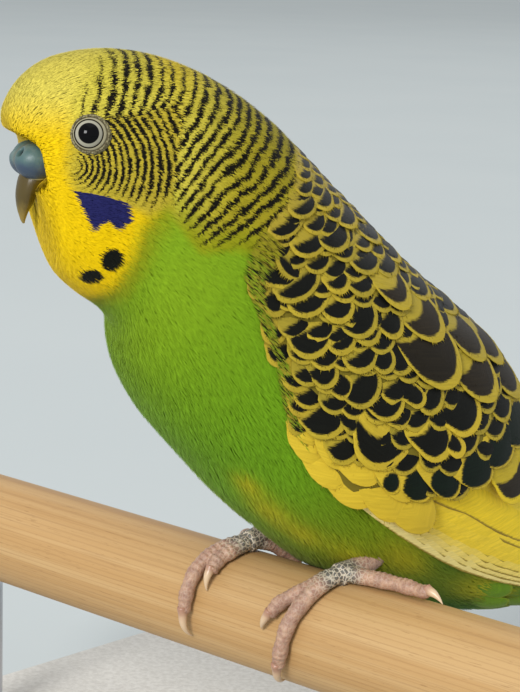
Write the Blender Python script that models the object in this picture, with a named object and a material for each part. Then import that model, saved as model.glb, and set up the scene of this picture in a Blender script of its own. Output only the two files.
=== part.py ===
"""A budgerigar at life size, sitting on a cut length of dowel perch that a small display stand holds.

The bird is lofted from one row of named stations that runs from the face over the neck to the tail. Head,
neck, torso and tail are lengths of that loft, parted by thin cuts. The wings are built on the same surface,
so they follow the body at a steady height. Sizes are in millimetres and become metres when a mesh is made.

The bird's own axes are left, back and up, measured from the top of the perch between its feet. In the part's
frame the perch runs along X and the bird looks along -Y, turned a little towards -X.
"""
import math

import bmesh
import bpy
import numpy as np

MM = 0.001
GAP = 0.3                    # left between pieces that touch

# Perch and stand
PERCH_RADIUS = 9.5
PERCH_LENGTH = 156.0
PERCH_CHAMFER = 0.8
GRIP = (6.0, -12.0, 46.0)    # middle of the bird's grip on the perch axis, from the middle of the base
BASE_SIZE = (172.0, 104.0, 8.0)
BASE_CORNER = 10.0
BASE_CHAMFER = 1.2
ROD_RADIUS = 3.0
ROD_SPREAD = 71.0            # each rod's distance from the middle of the base

# Stance
BODY_TURN = 12.0             # degrees, the whole bird towards -X
HEAD_TURN = 17.0             # degrees, the head further the same way
NECK_PIVOT = (-25.0, 61.3)   # back and up, where the head turns
TURN_FULL, TURN_NONE = 6.0, 10.0   # stations between which the turn of the head fades

# Body stations: dorsal back and up, ventral back and up, half width
STATIONS = {
    "face":      (-47.4, 67.6, -47.2, 66.6, 0.3),
    "beak_root": (-50.8, 73.4, -45.6, 60.0, 4.9),
    "brow":      (-49.8, 77.4, -44.6, 55.2, 8.2),
    "lores":     (-46.8, 80.9, -43.0, 50.8, 11.0),
    "eye":       (-42.2, 83.2, -39.8, 47.6, 13.1),
    "crown":     (-34.5, 84.1, -36.6, 45.4, 14.6),
    "ear":       (-25.8, 82.6, -34.4, 43.0, 15.5),
    "nape":      (-17.3, 78.8, -33.8, 40.4, 16.4),
    "neck":      (-9.4, 73.3, -33.2, 37.2, 17.6),
    "shoulder":  (-2.6, 67.0, -30.8, 32.2, 19.0),
    "chest":     (4.7, 59.6, -26.2, 26.0, 20.2),
    "breast":    (11.8, 52.4, -19.8, 19.2, 20.8),
    "keel":      (19.4, 45.7, -13.0, 12.2, 20.8),
    "belly":     (27.3, 39.4, -5.0, 5.6, 20.4),
    "thigh":     (34.9, 32.2, 4.6, -1.6, 19.0),
    "vent":      (42.2, 23.8, 17.4, -8.4, 16.0),
    "rump":      (50.0, 13.8, 34.0, -13.0, 12.4),
    "tail_root": (60.0, 3.2, 51.0, -14.6, 9.2),
    "tail_base": (71.0, -6.4, 64.0, -18.6, 7.8),
    "coverts":   (84.0, -16.2, 79.0, -24.0, 6.4),
}
ROUNDNESS = 2.15             # exponent of each cross section, 2 is an ellipse
HEAD_CUT, NECK_CUT, TAIL_CUT = 7.2, 9.2, 16.4
RING_POINTS = 28
NECK_STEP, TORSO_STEP = 0.5, 0.4   # stations between cross sections

# Head
EYE_STATION, EYE_ANGLE = 4.13, 68.0
EYE_RADIUS = 2.5
EYE_DEPTH = 1.5              # centre of the ball under the surface
LID_RADIUS, LID_THICKNESS = 2.45, 0.45
CERE_CENTRE = (-47.2, 67.3)
CERE_SPREAD = 1.6            # each lobe's distance from the middle
CERE_RADII = (2.4, 2.9, 2.4)
NOSTRIL_RADIUS = 0.5
UPPER_BEAK = [               # back, up, half width, half depth
    (-44.6, 64.9, 3.3, 2.9), (-46.2, 63.2, 3.1, 2.6), (-46.7, 61.3, 2.6, 2.1),
    (-46.9, 59.6, 1.9, 1.5), (-47.0, 58.2, 1.1, 0.9), (-46.9, 57.2, 0.3, 0.3),
]
LOWER_BEAK = [
    (-41.0, 60.6, 2.6, 1.6), (-42.6, 59.3, 2.4, 1.5), (-43.9, 58.2, 1.9, 1.2), (-44.8, 57.4, 1.0, 0.6),
]

# Wings: a shell on the body, given as station, angle of its lower edge and angle of its upper edge
WING_EDGES = [
    (8.5, 95, 68), (9.0, 101, 54), (10.0, 110, 38), (11.0, 120, 31), (12.0, 123, 28), (13.0, 114, 28),
    (13.8, 108, 34),
]
WING_RISE = 0.45             # underside of the wing above the body
WING_THICKNESS = 1.45
VANE_THICKNESS = 0.55
TIP_THICKNESS = 0.3
COVERT_ROOT_RISE = 1.1       # underside of a covert's root, sunk in the shell
COVERT_TILT = 0.25           # each vane's lower edge stands this much higher than its middle

# Tiers of coverts: tips at the lower edge, the middle and the upper edge of the wing as (station, angle),
# how many, length and half width of one, rise of the tips at the lower and at the upper edge
COVERT_TIERS = [
    ([(9.1, 100), (9.4, 82), (9.6, 60)], 4, 9.0, 3.3, 2.5, 2.7),
    ([(9.9, 107), (10.3, 82), (10.5, 54)], 5, 9.5, 3.4, 2.7, 3.2),
    ([(10.9, 112), (11.4, 84), (11.6, 48)], 6, 11.0, 3.4, 2.8, 3.7),
    ([(11.9, 114), (13.3, 92), (13.9, 54)], 6, 14.0, 3.6, 3.3, 4.4),
]
PRIMARY_COVERTS = ([(12.7, 124), (13.1, 119), (13.5, 113)], 2, 14.0, 2.0, 2.2, 2.6)
SCAPULARS = ([(12.9, 60), (13.8, 46), (14.2, 32)], 3, 22.0, 3.8, 4.9, 4.9)
WING_ROOT = 8.6              # no covert is rooted nearer to the head

# Flight feathers, from the outermost primary at the lower edge to the innermost secondary
PRIMARIES, SECONDARIES = 5, 3
FLIGHT_ROOT = (11.3, 112.0)
FLIGHT_ROOT_STEP = (0.15, -10.5)
PRIMARY_TIP = (17.3, 94.0)
PRIMARY_TIP_STEP = (-0.3, -7.5)
SECONDARY_TIP = (15.6, 52.0)
SECONDARY_TIP_STEP = (-0.25, -9.0)
FLIGHT_HALF_WIDTH = 4.0
FLIGHT_ROOT_RISE, FLIGHT_TIP_RISE = 1.4, 1.5
FLIGHT_RISE_STEP = 0.4
FLIGHT_TILT = 0.9

# Share of the full half width at places along a vane
COVERT_OUTLINE = [(0.0, 0.6), (0.5, 1.0), (0.85, 0.8), (1.0, 0.2)]
FLIGHT_OUTLINE = [(0.0, 0.5), (0.3, 0.9), (0.6, 1.0), (0.88, 0.75), (1.0, 0.12)]

# Tail: the long feathers run straight, in pairs one under the other
TAIL_SLOPE = 32.0            # degrees below level
TAIL_ROOT = (54.0, -1.0)     # back and up
TAIL_LENGTHS = (83.0, 70.0, 59.0, 49.0, 40.0, 32.0)
TAIL_HALF_WIDTH = 3.6
TAIL_SPREAD = 4.1            # distance of the outer pairs from the middle
TAIL_SPLAY = 0.9             # degrees more for each pair
CENTRAL_HALF_WIDTH, CENTRAL_SPREAD = 4.3, 2.3
TAIL_STEP = 0.85             # from one feather to the next below
COVERTS_END = 17.9
UPPER_TAIL_COVERTS = ([(18.3, 62), (18.7, 0), (18.3, -62)], 5, 18.0, 2.6, 0.5, 0.5)
UNDER_TAIL_COVERTS = ([(18.4, 118), (18.9, 180), (18.4, 242)], 5, 18.0, 2.6, 0.5, 0.5)

# Feet: toes run over the perch as (distance along it, degrees from its top towards the front)
TOE_RADIUS = 1.45
TOE_TAPER = 0.78
CLAW_RADIUS = 0.85
TOES_LEFT = {
    "inner_front": [(12.0, 10), (9.4, 36), (6.0, 54), (4.4, 68)],
    "outer_front": [(12.0, 12), (10.4, 44), (9.0, 68), (8.0, 92), (6.8, 112)],
    "outer_hind":  [(12.6, 6), (17.6, 0), (22.6, -5), (27.8, -6)],
    "inner_hind":  [(12.0, 2), (11.0, -26), (10.0, -50), (9.6, -72)],
}
TOES_RIGHT = {
    "inner_front": [(-9.6, 2), (-9.8, 20), (-10.6, 34), (-10.6, 48)],
    "outer_front": [(-9.8, 2), (-12.2, 26), (-13.5, 48), (-13.7, 70), (-13.6, 90)],
    "outer_hind":  [(-10.2, -2), (-14.4, -24), (-17.0, -44), (-18.4, -62)],
    "inner_hind":  [(-9.6, -4), (-8.4, -30), (-7.6, -52), (-7.2, -72)],
}
CLAW_LENGTH = 5.5
CLAW_ARCH = 0.5              # how far the middle of a claw stands off the perch
ANKLE_LEFT = (13.0, 7.0, 10.5)     # x, y and height over the perch axis where the shank enters the belly
ANKLE_RIGHT = (-9.5, 4.5, 10.5)
SHANK_RADIUS = 1.6
SHANK_LENGTH = 8.0

COLOURS = {
    "head": (0.62, 0.48, 0.06), "neck": (0.30, 0.33, 0.06), "torso": (0.19, 0.32, 0.02),
    "tail": (0.05, 0.16, 0.20), "wing": (0.50, 0.36, 0.05), "eye": (0.01, 0.01, 0.01),
    "cere": (0.10, 0.20, 0.17), "beak": (0.30, 0.27, 0.13), "leg": (0.50, 0.27, 0.18),
    "perch": (0.62, 0.38, 0.15), "stand": (0.75, 0.73, 0.69), "rod": (0.55, 0.55, 0.56),
}


def material(name, roughness=0.7, metallic=0.0):
    found = bpy.data.materials.get(name)
    if found:
        return found
    made = bpy.data.materials.new(name)
    made.use_nodes = True
    shader = made.node_tree.nodes["Principled BSDF"]
    shader.inputs["Base Color"].default_value = (*COLOURS[name], 1.0)
    shader.inputs["Roughness"].default_value = roughness
    shader.inputs["Metallic"].default_value = metallic
    return made


# Surface of the body

STATION_TABLE = np.array(list(STATIONS.values()))


def ease(x):
    x = np.clip(x, 0.0, 1.0)
    return x * x * (3.0 - 2.0 * x)


def turned(points, degrees, pivot=(0.0, 0.0)):
    """Points turned about the vertical through a pivot, counterclockwise from above."""
    a = np.radians(degrees)
    x = points[..., 0] - pivot[0]
    y = points[..., 1] - pivot[1]
    return np.stack([pivot[0] + x * np.cos(a) - y * np.sin(a),
                     pivot[1] + x * np.sin(a) + y * np.cos(a), points[..., 2]], -1)


def between_stations(station):
    """The five station values at any place along the body, on smooth curves through the table."""
    last = len(STATION_TABLE) - 1
    station = np.clip(station, 0.0, last)
    i = np.minimum(station.astype(int), last - 1)
    f = (station - i)[..., None]
    p0, p1 = STATION_TABLE[np.maximum(i - 1, 0)], STATION_TABLE[i]
    p2, p3 = STATION_TABLE[i + 1], STATION_TABLE[np.minimum(i + 2, last)]
    return 0.5 * (2 * p1 + (p2 - p0) * f + (2 * p0 - 5 * p1 + 4 * p2 - p3) * f**2
                  + (3 * p1 - p0 - 3 * p2 + p3) * f**3)


def bird_surface(station, angle):
    """Point of the body in the bird's own axes. The angle runs from the middle of the back to the left."""
    back_d, up_d, back_v, up_v, half = np.moveaxis(between_stations(station), -1, 0)
    a = np.radians(angle)
    power = 2.0 / ROUNDNESS
    side = np.sign(np.sin(a)) * np.abs(np.sin(a)) ** power
    rise = np.sign(np.cos(a)) * np.abs(np.cos(a)) ** power
    back = (back_d + back_v) / 2 + (back_d - back_v) / 2 * rise
    up = (up_d + up_v) / 2 + (up_d - up_v) / 2 * rise
    points = np.stack([half * side, back, up], -1)
    turn = HEAD_TURN * (1 - ease((station - TURN_FULL) / (TURN_NONE - TURN_FULL)))
    return turned(points, -turn, (0.0, NECK_PIVOT[0]))


def to_part(points):
    """From the bird's own axes to the part's frame."""
    return turned(np.asarray(points, float), -BODY_TURN) + np.array(GRIP) + (0, 0, PERCH_RADIUS)


def head_to_part(points):
    """From the axes of the head before it turns to the part's frame."""
    return to_part(turned(np.asarray(points, float), -HEAD_TURN, (0.0, NECK_PIVOT[0])))


def surface(station, angle, height=0.0):
    """Point over the body in the part's frame, at a height along the surface's normal."""
    station, angle, height = np.broadcast_arrays(*(np.asarray(v, float) for v in (station, angle, height)))
    step_t, step_a = 1e-3, 0.1
    along = bird_surface(station + step_t, angle) - bird_surface(station - step_t, angle)
    across = bird_surface(station, angle + step_a) - bird_surface(station, angle - step_a)
    normal = np.cross(across, along)
    normal /= np.linalg.norm(normal, axis=-1, keepdims=True) + 1e-12
    return to_part(bird_surface(station, angle) + normal * height[..., None])


# Making solids

def solid(name, points, faces, finish):
    """A closed mesh object from points in millimetres, with its faces turned outwards."""
    shape = bmesh.new()
    corners = [shape.verts.new(np.asarray(p) * MM) for p in points]
    for face in faces:
        shape.faces.new([corners[i] for i in face])
    bmesh.ops.recalc_face_normals(shape, faces=shape.faces)
    mesh = bpy.data.meshes.new(name)
    shape.to_mesh(mesh)
    shape.free()
    mesh.materials.append(finish)
    made = bpy.data.objects.new(name, mesh)
    bpy.context.scene.collection.objects.link(made)
    return made


def tube(name, rings, finish):
    """A closed tube through rings of points, with a fan over each end."""
    rings = np.asarray(rings, float)
    count, around = rings.shape[:2]
    points = [*rings.reshape(-1, 3), rings[0].mean(0), rings[-1].mean(0)]
    first, last = count * around, count * around + 1
    faces = []
    for i in range(around):
        j = (i + 1) % around
        faces.append((first, j, i))
        faces.append((last, (count - 1) * around + i, (count - 1) * around + j))
        for k in range(count - 1):
            a, b = k * around, (k + 1) * around
            faces.append((a + i, a + j, b + j, b + i))
    return solid(name, points, faces, finish)


def shell_of_grid(name, lower, upper, finish):
    """A closed sheet between two grids of points, split into triangles alike on both faces."""
    rows, columns = lower.shape[:2]
    size = rows * columns
    points = [*lower.reshape(-1, 3), *upper.reshape(-1, 3)]
    faces = []
    for i in range(rows - 1):
        for j in range(columns - 1):
            a, b = i * columns + j, i * columns + j + 1
            c, d = a + columns, b + columns
            faces += [(a, b, d), (a, d, c), (size + a, size + d, size + b), (size + a, size + c, size + d)]
    rim = [j for j in range(columns)]
    rim += [i * columns + columns - 1 for i in range(1, rows)]
    rim += [(rows - 1) * columns + j for j in range(columns - 2, -1, -1)]
    rim += [i * columns for i in range(rows - 2, 0, -1)]
    for k, a in enumerate(rim):
        b = rim[(k + 1) % len(rim)]
        faces.append((a, size + a, size + b, b))
    return solid(name, points, faces, finish)


def ball(name, centre, radii, finish, segments=14):
    """An ellipsoid in the head's axes."""
    turns = np.linspace(0, 2 * np.pi, segments, endpoint=False)
    rings = []
    for polar in np.linspace(0.02, np.pi - 0.02, segments // 2 + 1):
        ring = np.stack([np.cos(turns) * np.sin(polar), np.full(segments, np.cos(polar)),
                         np.sin(turns) * np.sin(polar)], -1)
        rings.append(head_to_part(ring * radii + centre))
    return tube(name, rings, finish)


def combine(target, pieces, operation):
    """Join pieces to the target or cut them from it, and keep the largest closed surface."""
    group = bpy.data.collections.new("pieces")
    for piece in pieces:
        group.objects.link(piece)
    step = target.modifiers.new(operation.lower(), "BOOLEAN")
    step.operation = operation
    step.operand_type = "COLLECTION"
    step.collection = group
    step.solver = "EXACT"
    graph = bpy.context.evaluated_depsgraph_get()
    mesh = bpy.data.meshes.new_from_object(target.evaluated_get(graph))
    target.modifiers.clear()
    target.data = mesh
    mesh.name = target.name
    for piece in pieces:
        bpy.data.objects.remove(piece)
    bpy.data.collections.remove(group)
    keep_largest(mesh)
    return target


def keep_largest(mesh):
    """Drop every closed surface but the one with the most room inside."""
    shape = bmesh.new()
    shape.from_mesh(mesh)
    bmesh.ops.triangulate(shape, faces=shape.faces)
    left, groups = set(shape.faces), []
    while left:
        front, group = [left.pop()], []
        while front:
            face = front.pop()
            group.append(face)
            for edge in face.edges:
                for near in edge.link_faces:
                    if near in left:
                        left.remove(near)
                        front.append(near)
        groups.append(group)

    def room(group):
        corners = [[v.co for v in face.verts] for face in group]
        return abs(sum(a.dot(b.cross(c)) for a, b, c in corners))

    groups.sort(key=room)
    for group in groups[:-1]:
        bmesh.ops.delete(shape, geom=group, context="FACES")
    shape.to_mesh(mesh)
    shape.free()


# Head, neck and torso

def ring(station, shift=0.0):
    """One cross section of the body, moved along its own normal by a shift."""
    angles = np.linspace(0, 360, RING_POINTS, endpoint=False)
    points = surface(np.full(RING_POINTS, station), angles)
    side, rise = points[RING_POINTS // 4] - points[3 * RING_POINTS // 4], points[0] - points[RING_POINTS // 2]
    normal = np.cross(rise, side)
    return points + normal / np.linalg.norm(normal) * shift


def body_length(name, start, end, spacing, finish):
    """A length of the body between two stations. Its first ring stands a gap clear of the one before."""
    inner = np.arange(math.floor(start / spacing + 1.2) * spacing, end - spacing * 0.3, spacing)
    shift = GAP if start > 0 else 0.0
    rings = [ring(start, shift), *(ring(s) for s in inner), ring(end)]
    return tube(name, rings, finish)


def eye_place(side, depth):
    """Centre of the eye's ball and the direction that it looks in, in the part's frame."""
    angle = EYE_ANGLE if side == "left" else 360 - EYE_ANGLE
    centre = surface(EYE_STATION, angle, -depth)
    outward = surface(EYE_STATION, angle, 1.0) - surface(EYE_STATION, angle, 0.0)
    return centre, outward / np.linalg.norm(outward)


def eye_ball(name, side, radius):
    centre, outward = eye_place(side, EYE_DEPTH)
    first = np.cross(outward, (0, 0, 1))
    first /= np.linalg.norm(first)
    second = np.cross(outward, first)
    rings = []
    for polar in np.linspace(0.03, np.pi - 0.03, 9):
        turns = np.linspace(0, 2 * np.pi, 16, endpoint=False)
        flat = np.outer(np.cos(turns), first) + np.outer(np.sin(turns), second)
        rings.append(centre + radius * (flat * np.sin(polar) + outward * np.cos(polar)))
    return tube(name, rings, material("eye", 0.1))


def eye_lid(side):
    """The bare ring of skin round the eye."""
    centre, outward = eye_place(side, -0.1)
    first = np.cross(outward, (0, 0, 1))
    first /= np.linalg.norm(first)
    second = np.cross(outward, first)
    around, across = 16, 5
    points, faces = [], []
    for i in range(around):
        turn = 2 * np.pi * i / around
        out = first * np.cos(turn) + second * np.sin(turn)
        for j in range(across):
            tilt = 2 * np.pi * j / across
            points.append(centre + out * (LID_RADIUS + LID_THICKNESS * np.cos(tilt))
                          + outward * LID_THICKNESS * np.sin(tilt))
            k, m = (i + 1) % around, (j + 1) % across
            faces.append((i * across + j, k * across + j, k * across + m, i * across + m))
    return solid("lid", points, faces, material("head"))


def horn(name, stations, grow=0.0, sides=14):
    """A curved, tapered piece of the bill in the head's axes."""
    path = np.array([(back, up) for back, up, _, _ in stations])
    run = np.gradient(path, axis=0)
    run /= np.linalg.norm(run, axis=1, keepdims=True)
    path[0] -= run[0] * grow
    path[-1] += run[-1] * grow
    turns = np.linspace(0, 2 * np.pi, sides, endpoint=False)
    rings = []
    for (back, up), (_, _, half, deep), (run_back, run_up) in zip(path, stations, run):
        left = np.cos(turns) * (half + grow)
        out = np.sin(turns) * (deep + grow)
        rings.append(head_to_part(np.stack([left, back - out * run_up, up + out * run_back], -1)))
    return tube(name, rings, material("beak", 0.35))


def make_cere(name, grow=0.0):
    radii = np.array(CERE_RADII) + grow
    back, up = CERE_CENTRE
    lobes = [ball(name, (side * CERE_SPREAD, back, up), radii, material("cere", 0.4)) for side in (1, -1)]
    return combine(lobes[0], lobes[1:], "UNION")


def make_head():
    head = body_length("head", 0.0, HEAD_CUT, NECK_STEP, material("head", 0.8))
    combine(head, [eye_lid("left"), eye_lid("right")], "UNION")
    cutters = [eye_ball("socket_" + side, side, EYE_RADIUS + GAP) for side in ("left", "right")]
    cutters += [make_cere("cere_seat", GAP), horn("beak_seat", UPPER_BEAK, GAP), horn("jaw_seat", LOWER_BEAK, GAP)]
    combine(head, cutters, "DIFFERENCE")
    for side in ("left", "right"):
        eye_ball("eye_" + side, side, EYE_RADIUS)
    back, up = CERE_CENTRE
    cere = make_cere("cere")
    nostrils = [ball("nostril", (side * (CERE_SPREAD + 0.5), back - 2.4, up + 1.0), (NOSTRIL_RADIUS,) * 3,
                     material("cere"), 8) for side in (1, -1)]
    combine(cere, nostrils, "DIFFERENCE")
    upper = horn("beak_upper", UPPER_BEAK)
    combine(upper, [make_cere("cere_seat", GAP)], "DIFFERENCE")
    lower = horn("beak_lower", LOWER_BEAK)
    combine(lower, [horn("beak_seat", UPPER_BEAK, GAP)], "DIFFERENCE")


# Wings and tail

def side_angle(angle, side):
    return angle if side == "left" else 360 - np.asarray(angle)


def beside(station, angle, ahead, distance):
    """Station and angle of a point at a distance to the side of a path on the body that runs ahead."""
    here = surface(station, angle)
    per_station = surface(station + 0.01, angle) - here
    per_degree = surface(station, angle + 0.5) - here
    run = per_station * ahead[0] / 0.01 + per_degree * ahead[1] / 0.5
    out = np.cross(per_degree, per_station)
    side = np.cross(out, run)
    side *= distance / np.linalg.norm(side)
    frame = np.stack([per_station, per_degree], -1)
    steps = np.linalg.lstsq(frame, side, rcond=None)[0]
    return station + steps[0] * 0.01, angle + steps[1] * 0.5


def vane(root, tip, half, root_rise, tip_rise, tilt, outline):
    """One feather on the body, a thin blade from (station, angle) to (station, angle), tapering at both ends."""
    lower, upper = [], []
    ahead = (tip[0] - root[0], tip[1] - root[1])
    for share, width in outline:
        station, angle = root[0] + ahead[0] * share, root[1] + ahead[1] * share
        thick = VANE_THICKNESS + (TIP_THICKNESS - VANE_THICKNESS) * share**3
        sides = [beside(station, angle, ahead, reach * half * width) for reach in (-1, 1)]
        # the first of the two sides is the one with the larger angle when the path runs to the tail
        rises = [root_rise + (tip_rise - root_rise) * share - sign * tilt * width for sign in (-1, 1)]
        lower.append([surface(t, a, rise) for (t, a), rise in zip(sides, rises)])
        upper.append([surface(t, a, rise + thick) for (t, a), rise in zip(sides, rises)])
    return shell_of_grid("vane", np.array(lower), np.array(upper), material("wing"))


def tier(rows, side, tilt=COVERT_TILT):
    """A row of coverts from the lower edge to the upper edge of a wing, or across the tail."""
    tips, count, length, half, rise_low, rise_high = rows
    made = []
    for k in range(count):
        share = (k + 0.5) / count
        station = np.interp(share, (0, 0.5, 1), [t for t, _ in tips])
        angle = np.interp(share, (0, 0.5, 1), [a for _, a in tips])
        step = np.linalg.norm(surface(station, angle) - surface(station - 0.1, angle)) / 0.1
        angle = side_angle(angle, side)
        rise = rise_low + (rise_high - rise_low) * share
        root = (max(station - length / step, WING_ROOT), angle)
        made.append(vane(root, (station, angle), half, min(COVERT_ROOT_RISE, rise), rise,
                         tilt if side == "left" else -tilt, COVERT_OUTLINE))
    return made


def flight_feathers(side):
    made = []
    for i in range(PRIMARIES + SECONDARIES):
        root = (FLIGHT_ROOT[0] + FLIGHT_ROOT_STEP[0] * i, FLIGHT_ROOT[1] + FLIGHT_ROOT_STEP[1] * i)
        first, step, k = PRIMARY_TIP, PRIMARY_TIP_STEP, i
        if i >= PRIMARIES:
            first, step, k = SECONDARY_TIP, SECONDARY_TIP_STEP, i - PRIMARIES
        tip = (first[0] + step[0] * k, first[1] + step[1] * k)
        rise = FLIGHT_TIP_RISE + FLIGHT_RISE_STEP * i
        made.append(vane((root[0], side_angle(root[1], side)), (tip[0], side_angle(tip[1], side)),
                         FLIGHT_HALF_WIDTH, FLIGHT_ROOT_RISE, rise, FLIGHT_TILT if side == "left" else -FLIGHT_TILT,
                         FLIGHT_OUTLINE))
    return made


def make_wing(side):
    """A shell at the bend of the wing that carries the flight feathers and, over them, the tiers of coverts."""
    edges = np.array(WING_EDGES, float)
    stations = np.linspace(edges[0, 0], edges[-1, 0], 10)
    low = np.interp(stations, edges[:, 0], edges[:, 1])
    high = np.interp(stations, edges[:, 0], edges[:, 2])
    share = np.linspace(0, 1, 7)
    angle = side_angle(low[:, None] + (high - low)[:, None] * share, side)
    station = np.repeat(stations[:, None], len(share), 1)
    shell = shell_of_grid("wing_" + side, surface(station, angle, WING_RISE),
                          surface(station, angle, WING_RISE + WING_THICKNESS), material("wing"))
    vanes = flight_feathers(side)
    for rows in (*COVERT_TIERS, PRIMARY_COVERTS, SCAPULARS):
        vanes += tier(rows, side)
    return combine(shell, vanes, "UNION")


def tail_feather(length, half, spread, splay, drop):
    """One long, straight tail feather that lies under the ones before it."""
    slope = math.radians(TAIL_SLOPE)
    run = np.array([0, math.cos(slope), -math.sin(slope)])
    rise = np.array([0, math.sin(slope), math.cos(slope)])
    lower, upper = [], []
    for share, width in FLIGHT_OUTLINE:
        thick = VANE_THICKNESS + (TIP_THICKNESS - VANE_THICKNESS) * share**3
        middle = spread + math.sin(math.radians(splay)) * length * share
        for rows, height in ((lower, -drop), (upper, thick - drop)):
            at = np.array([0, *TAIL_ROOT]) + run * length * share + rise * height
            rows.append([to_part(at + np.array([middle + sign * half * width, 0, 0])) for sign in (-1, 1)])
    return shell_of_grid("vane", np.array(lower), np.array(upper), material("tail"))


def make_tail():
    """The rump and its coverts with twelve long feathers, the middle pair on top and the rest stepped below."""
    tail = body_length("tail", TAIL_CUT, COVERTS_END, TORSO_STEP, material("tail"))
    vanes = [tail_feather(TAIL_LENGTHS[0], CENTRAL_HALF_WIDTH, CENTRAL_SPREAD, 0, 0),
             tail_feather(TAIL_LENGTHS[0] - 1, CENTRAL_HALF_WIDTH, -CENTRAL_SPREAD, 0, TAIL_STEP)]
    for pair, length in enumerate(TAIL_LENGTHS[1:], 1):
        for sign in (1, -1):
            vanes.append(tail_feather(length, TAIL_HALF_WIDTH, sign * TAIL_SPREAD, sign * TAIL_SPLAY * pair,
                                      TAIL_STEP * (pair + 1)))
    for rows in (UPPER_TAIL_COVERTS, UNDER_TAIL_COVERTS):
        vanes += tier(rows, "left", 0.0)
    return combine(tail, vanes, "UNION")


# Legs

def over_perch(along, degrees, reach):
    """Point over the perch: along it, round it from the top towards the front, and out from its axis."""
    a = np.radians(degrees)
    return np.array([along, -reach * np.sin(a), reach * np.cos(a)]) + np.array(GRIP)


def rod_through(name, path, radii, finish, sides=8, grow=0.0):
    """A round rod along a path of points, one radius each. It can be grown on every side to make a cutter."""
    path = np.array(path, float)
    run = np.gradient(path, axis=0)
    run /= np.linalg.norm(run, axis=1, keepdims=True)
    path[0] -= run[0] * grow
    path[-1] += run[-1] * grow
    first = np.cross(run[0], (0.3, 0.1, 0.9))
    rings = []
    for point, ahead, radius in zip(path, run, radii):
        first = first - ahead * first.dot(ahead)
        first /= np.linalg.norm(first)
        second = np.cross(ahead, first)
        turns = np.linspace(0, 2 * np.pi, sides, endpoint=False)
        rings.append(point + (radius + grow) * (np.outer(np.cos(turns), first) + np.outer(np.sin(turns), second)))
    return tube(name, rings, finish)


def make_toe(knots, grow):
    """A toe that lies on the perch and its claw, which curves on down from the tip."""
    knots = np.array(knots, float)
    share = np.linspace(0, len(knots) - 1, 3 * (len(knots) - 1) + 1)
    along = np.interp(share, range(len(knots)), knots[:, 0])
    degrees = np.interp(share, range(len(knots)), knots[:, 1])
    thick = TOE_RADIUS * np.linspace(1.0, TOE_TAPER, len(share))
    toe_path = [over_perch(x, a, PERCH_RADIUS + GAP + r) for x, a, r in zip(along, degrees, thick)]
    toe = rod_through("toe", toe_path, thick, material("leg"), 8, grow)
    reach = PERCH_RADIUS + GAP + thick[-1]
    round_perch = math.radians(degrees[-1] - degrees[-2]) * reach
    stride = math.hypot(along[-1] - along[-2], round_perch)
    claw_path, claw_radii = [], []
    for s in np.linspace(-0.2, 1.0, 6):
        x = along[-1] + (along[-1] - along[-2]) / stride * s * CLAW_LENGTH
        a = degrees[-1] + math.degrees(round_perch / stride * s * CLAW_LENGTH / reach)
        radius = CLAW_RADIUS * (1.0 - 0.85 * max(s, 0.0))
        arch = CLAW_ARCH * 4 * max(s, 0.0) * (1 - s)
        claw_path.append(over_perch(x, a, PERCH_RADIUS + GAP + max(radius, thick[-1] * (0.8 - s)) + arch))
        claw_radii.append(radius)
    return [toe, rod_through("claw", claw_path, claw_radii, material("leg"), 6, grow)]


def make_leg(side, name, grow=0.0):
    """Shank and four toes, two to the front and two to the back."""
    toes = TOES_LEFT if side == "left" else TOES_RIGHT
    ankle = np.array(ANKLE_LEFT if side == "left" else ANKLE_RIGHT) + np.array(GRIP)
    start = over_perch(*toes["outer_front"][0], PERCH_RADIUS + GAP + TOE_RADIUS)
    up = np.array([0.0, 0.35, 1.0]) * SHANK_LENGTH
    path = [start, (start + ankle) / 2 + (0, 0, 0.8), ankle + (0, 0, 3.0), ankle + up]
    shank = rod_through(name, path, (1.5, SHANK_RADIUS, SHANK_RADIUS, SHANK_RADIUS), material("leg", 0.6), 8, grow)
    pieces = [piece for knots in toes.values() for piece in make_toe(knots, grow)]
    return combine(shank, pieces, "UNION")


def make_torso():
    torso = body_length("torso", NECK_CUT, TAIL_CUT, TORSO_STEP, material("torso", 0.8))
    cutters = [round_bar("perch_seat", PERCH_RADIUS + GAP + 0.1, PERCH_LENGTH)]
    cutters += [make_leg(side, "leg_seat_" + side, GAP) for side in ("left", "right")]
    return combine(torso, cutters, "DIFFERENCE")


# Perch and stand

def round_bar(name, radius, length, chamfer=0.0):
    ends = [(-length / 2, radius - chamfer), (length / 2, radius - chamfer)]
    if chamfer:
        ends[1:1] = [(-length / 2 + chamfer, radius), (length / 2 - chamfer, radius)]
    turns = np.linspace(0, 2 * np.pi, 48, endpoint=False)
    middle = np.array([0.0, GRIP[1], GRIP[2]])
    rings = [middle + np.stack([np.full(48, x), np.cos(turns) * r, np.sin(turns) * r], -1) for x, r in ends]
    return tube(name, rings, material("perch", 0.6))


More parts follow.
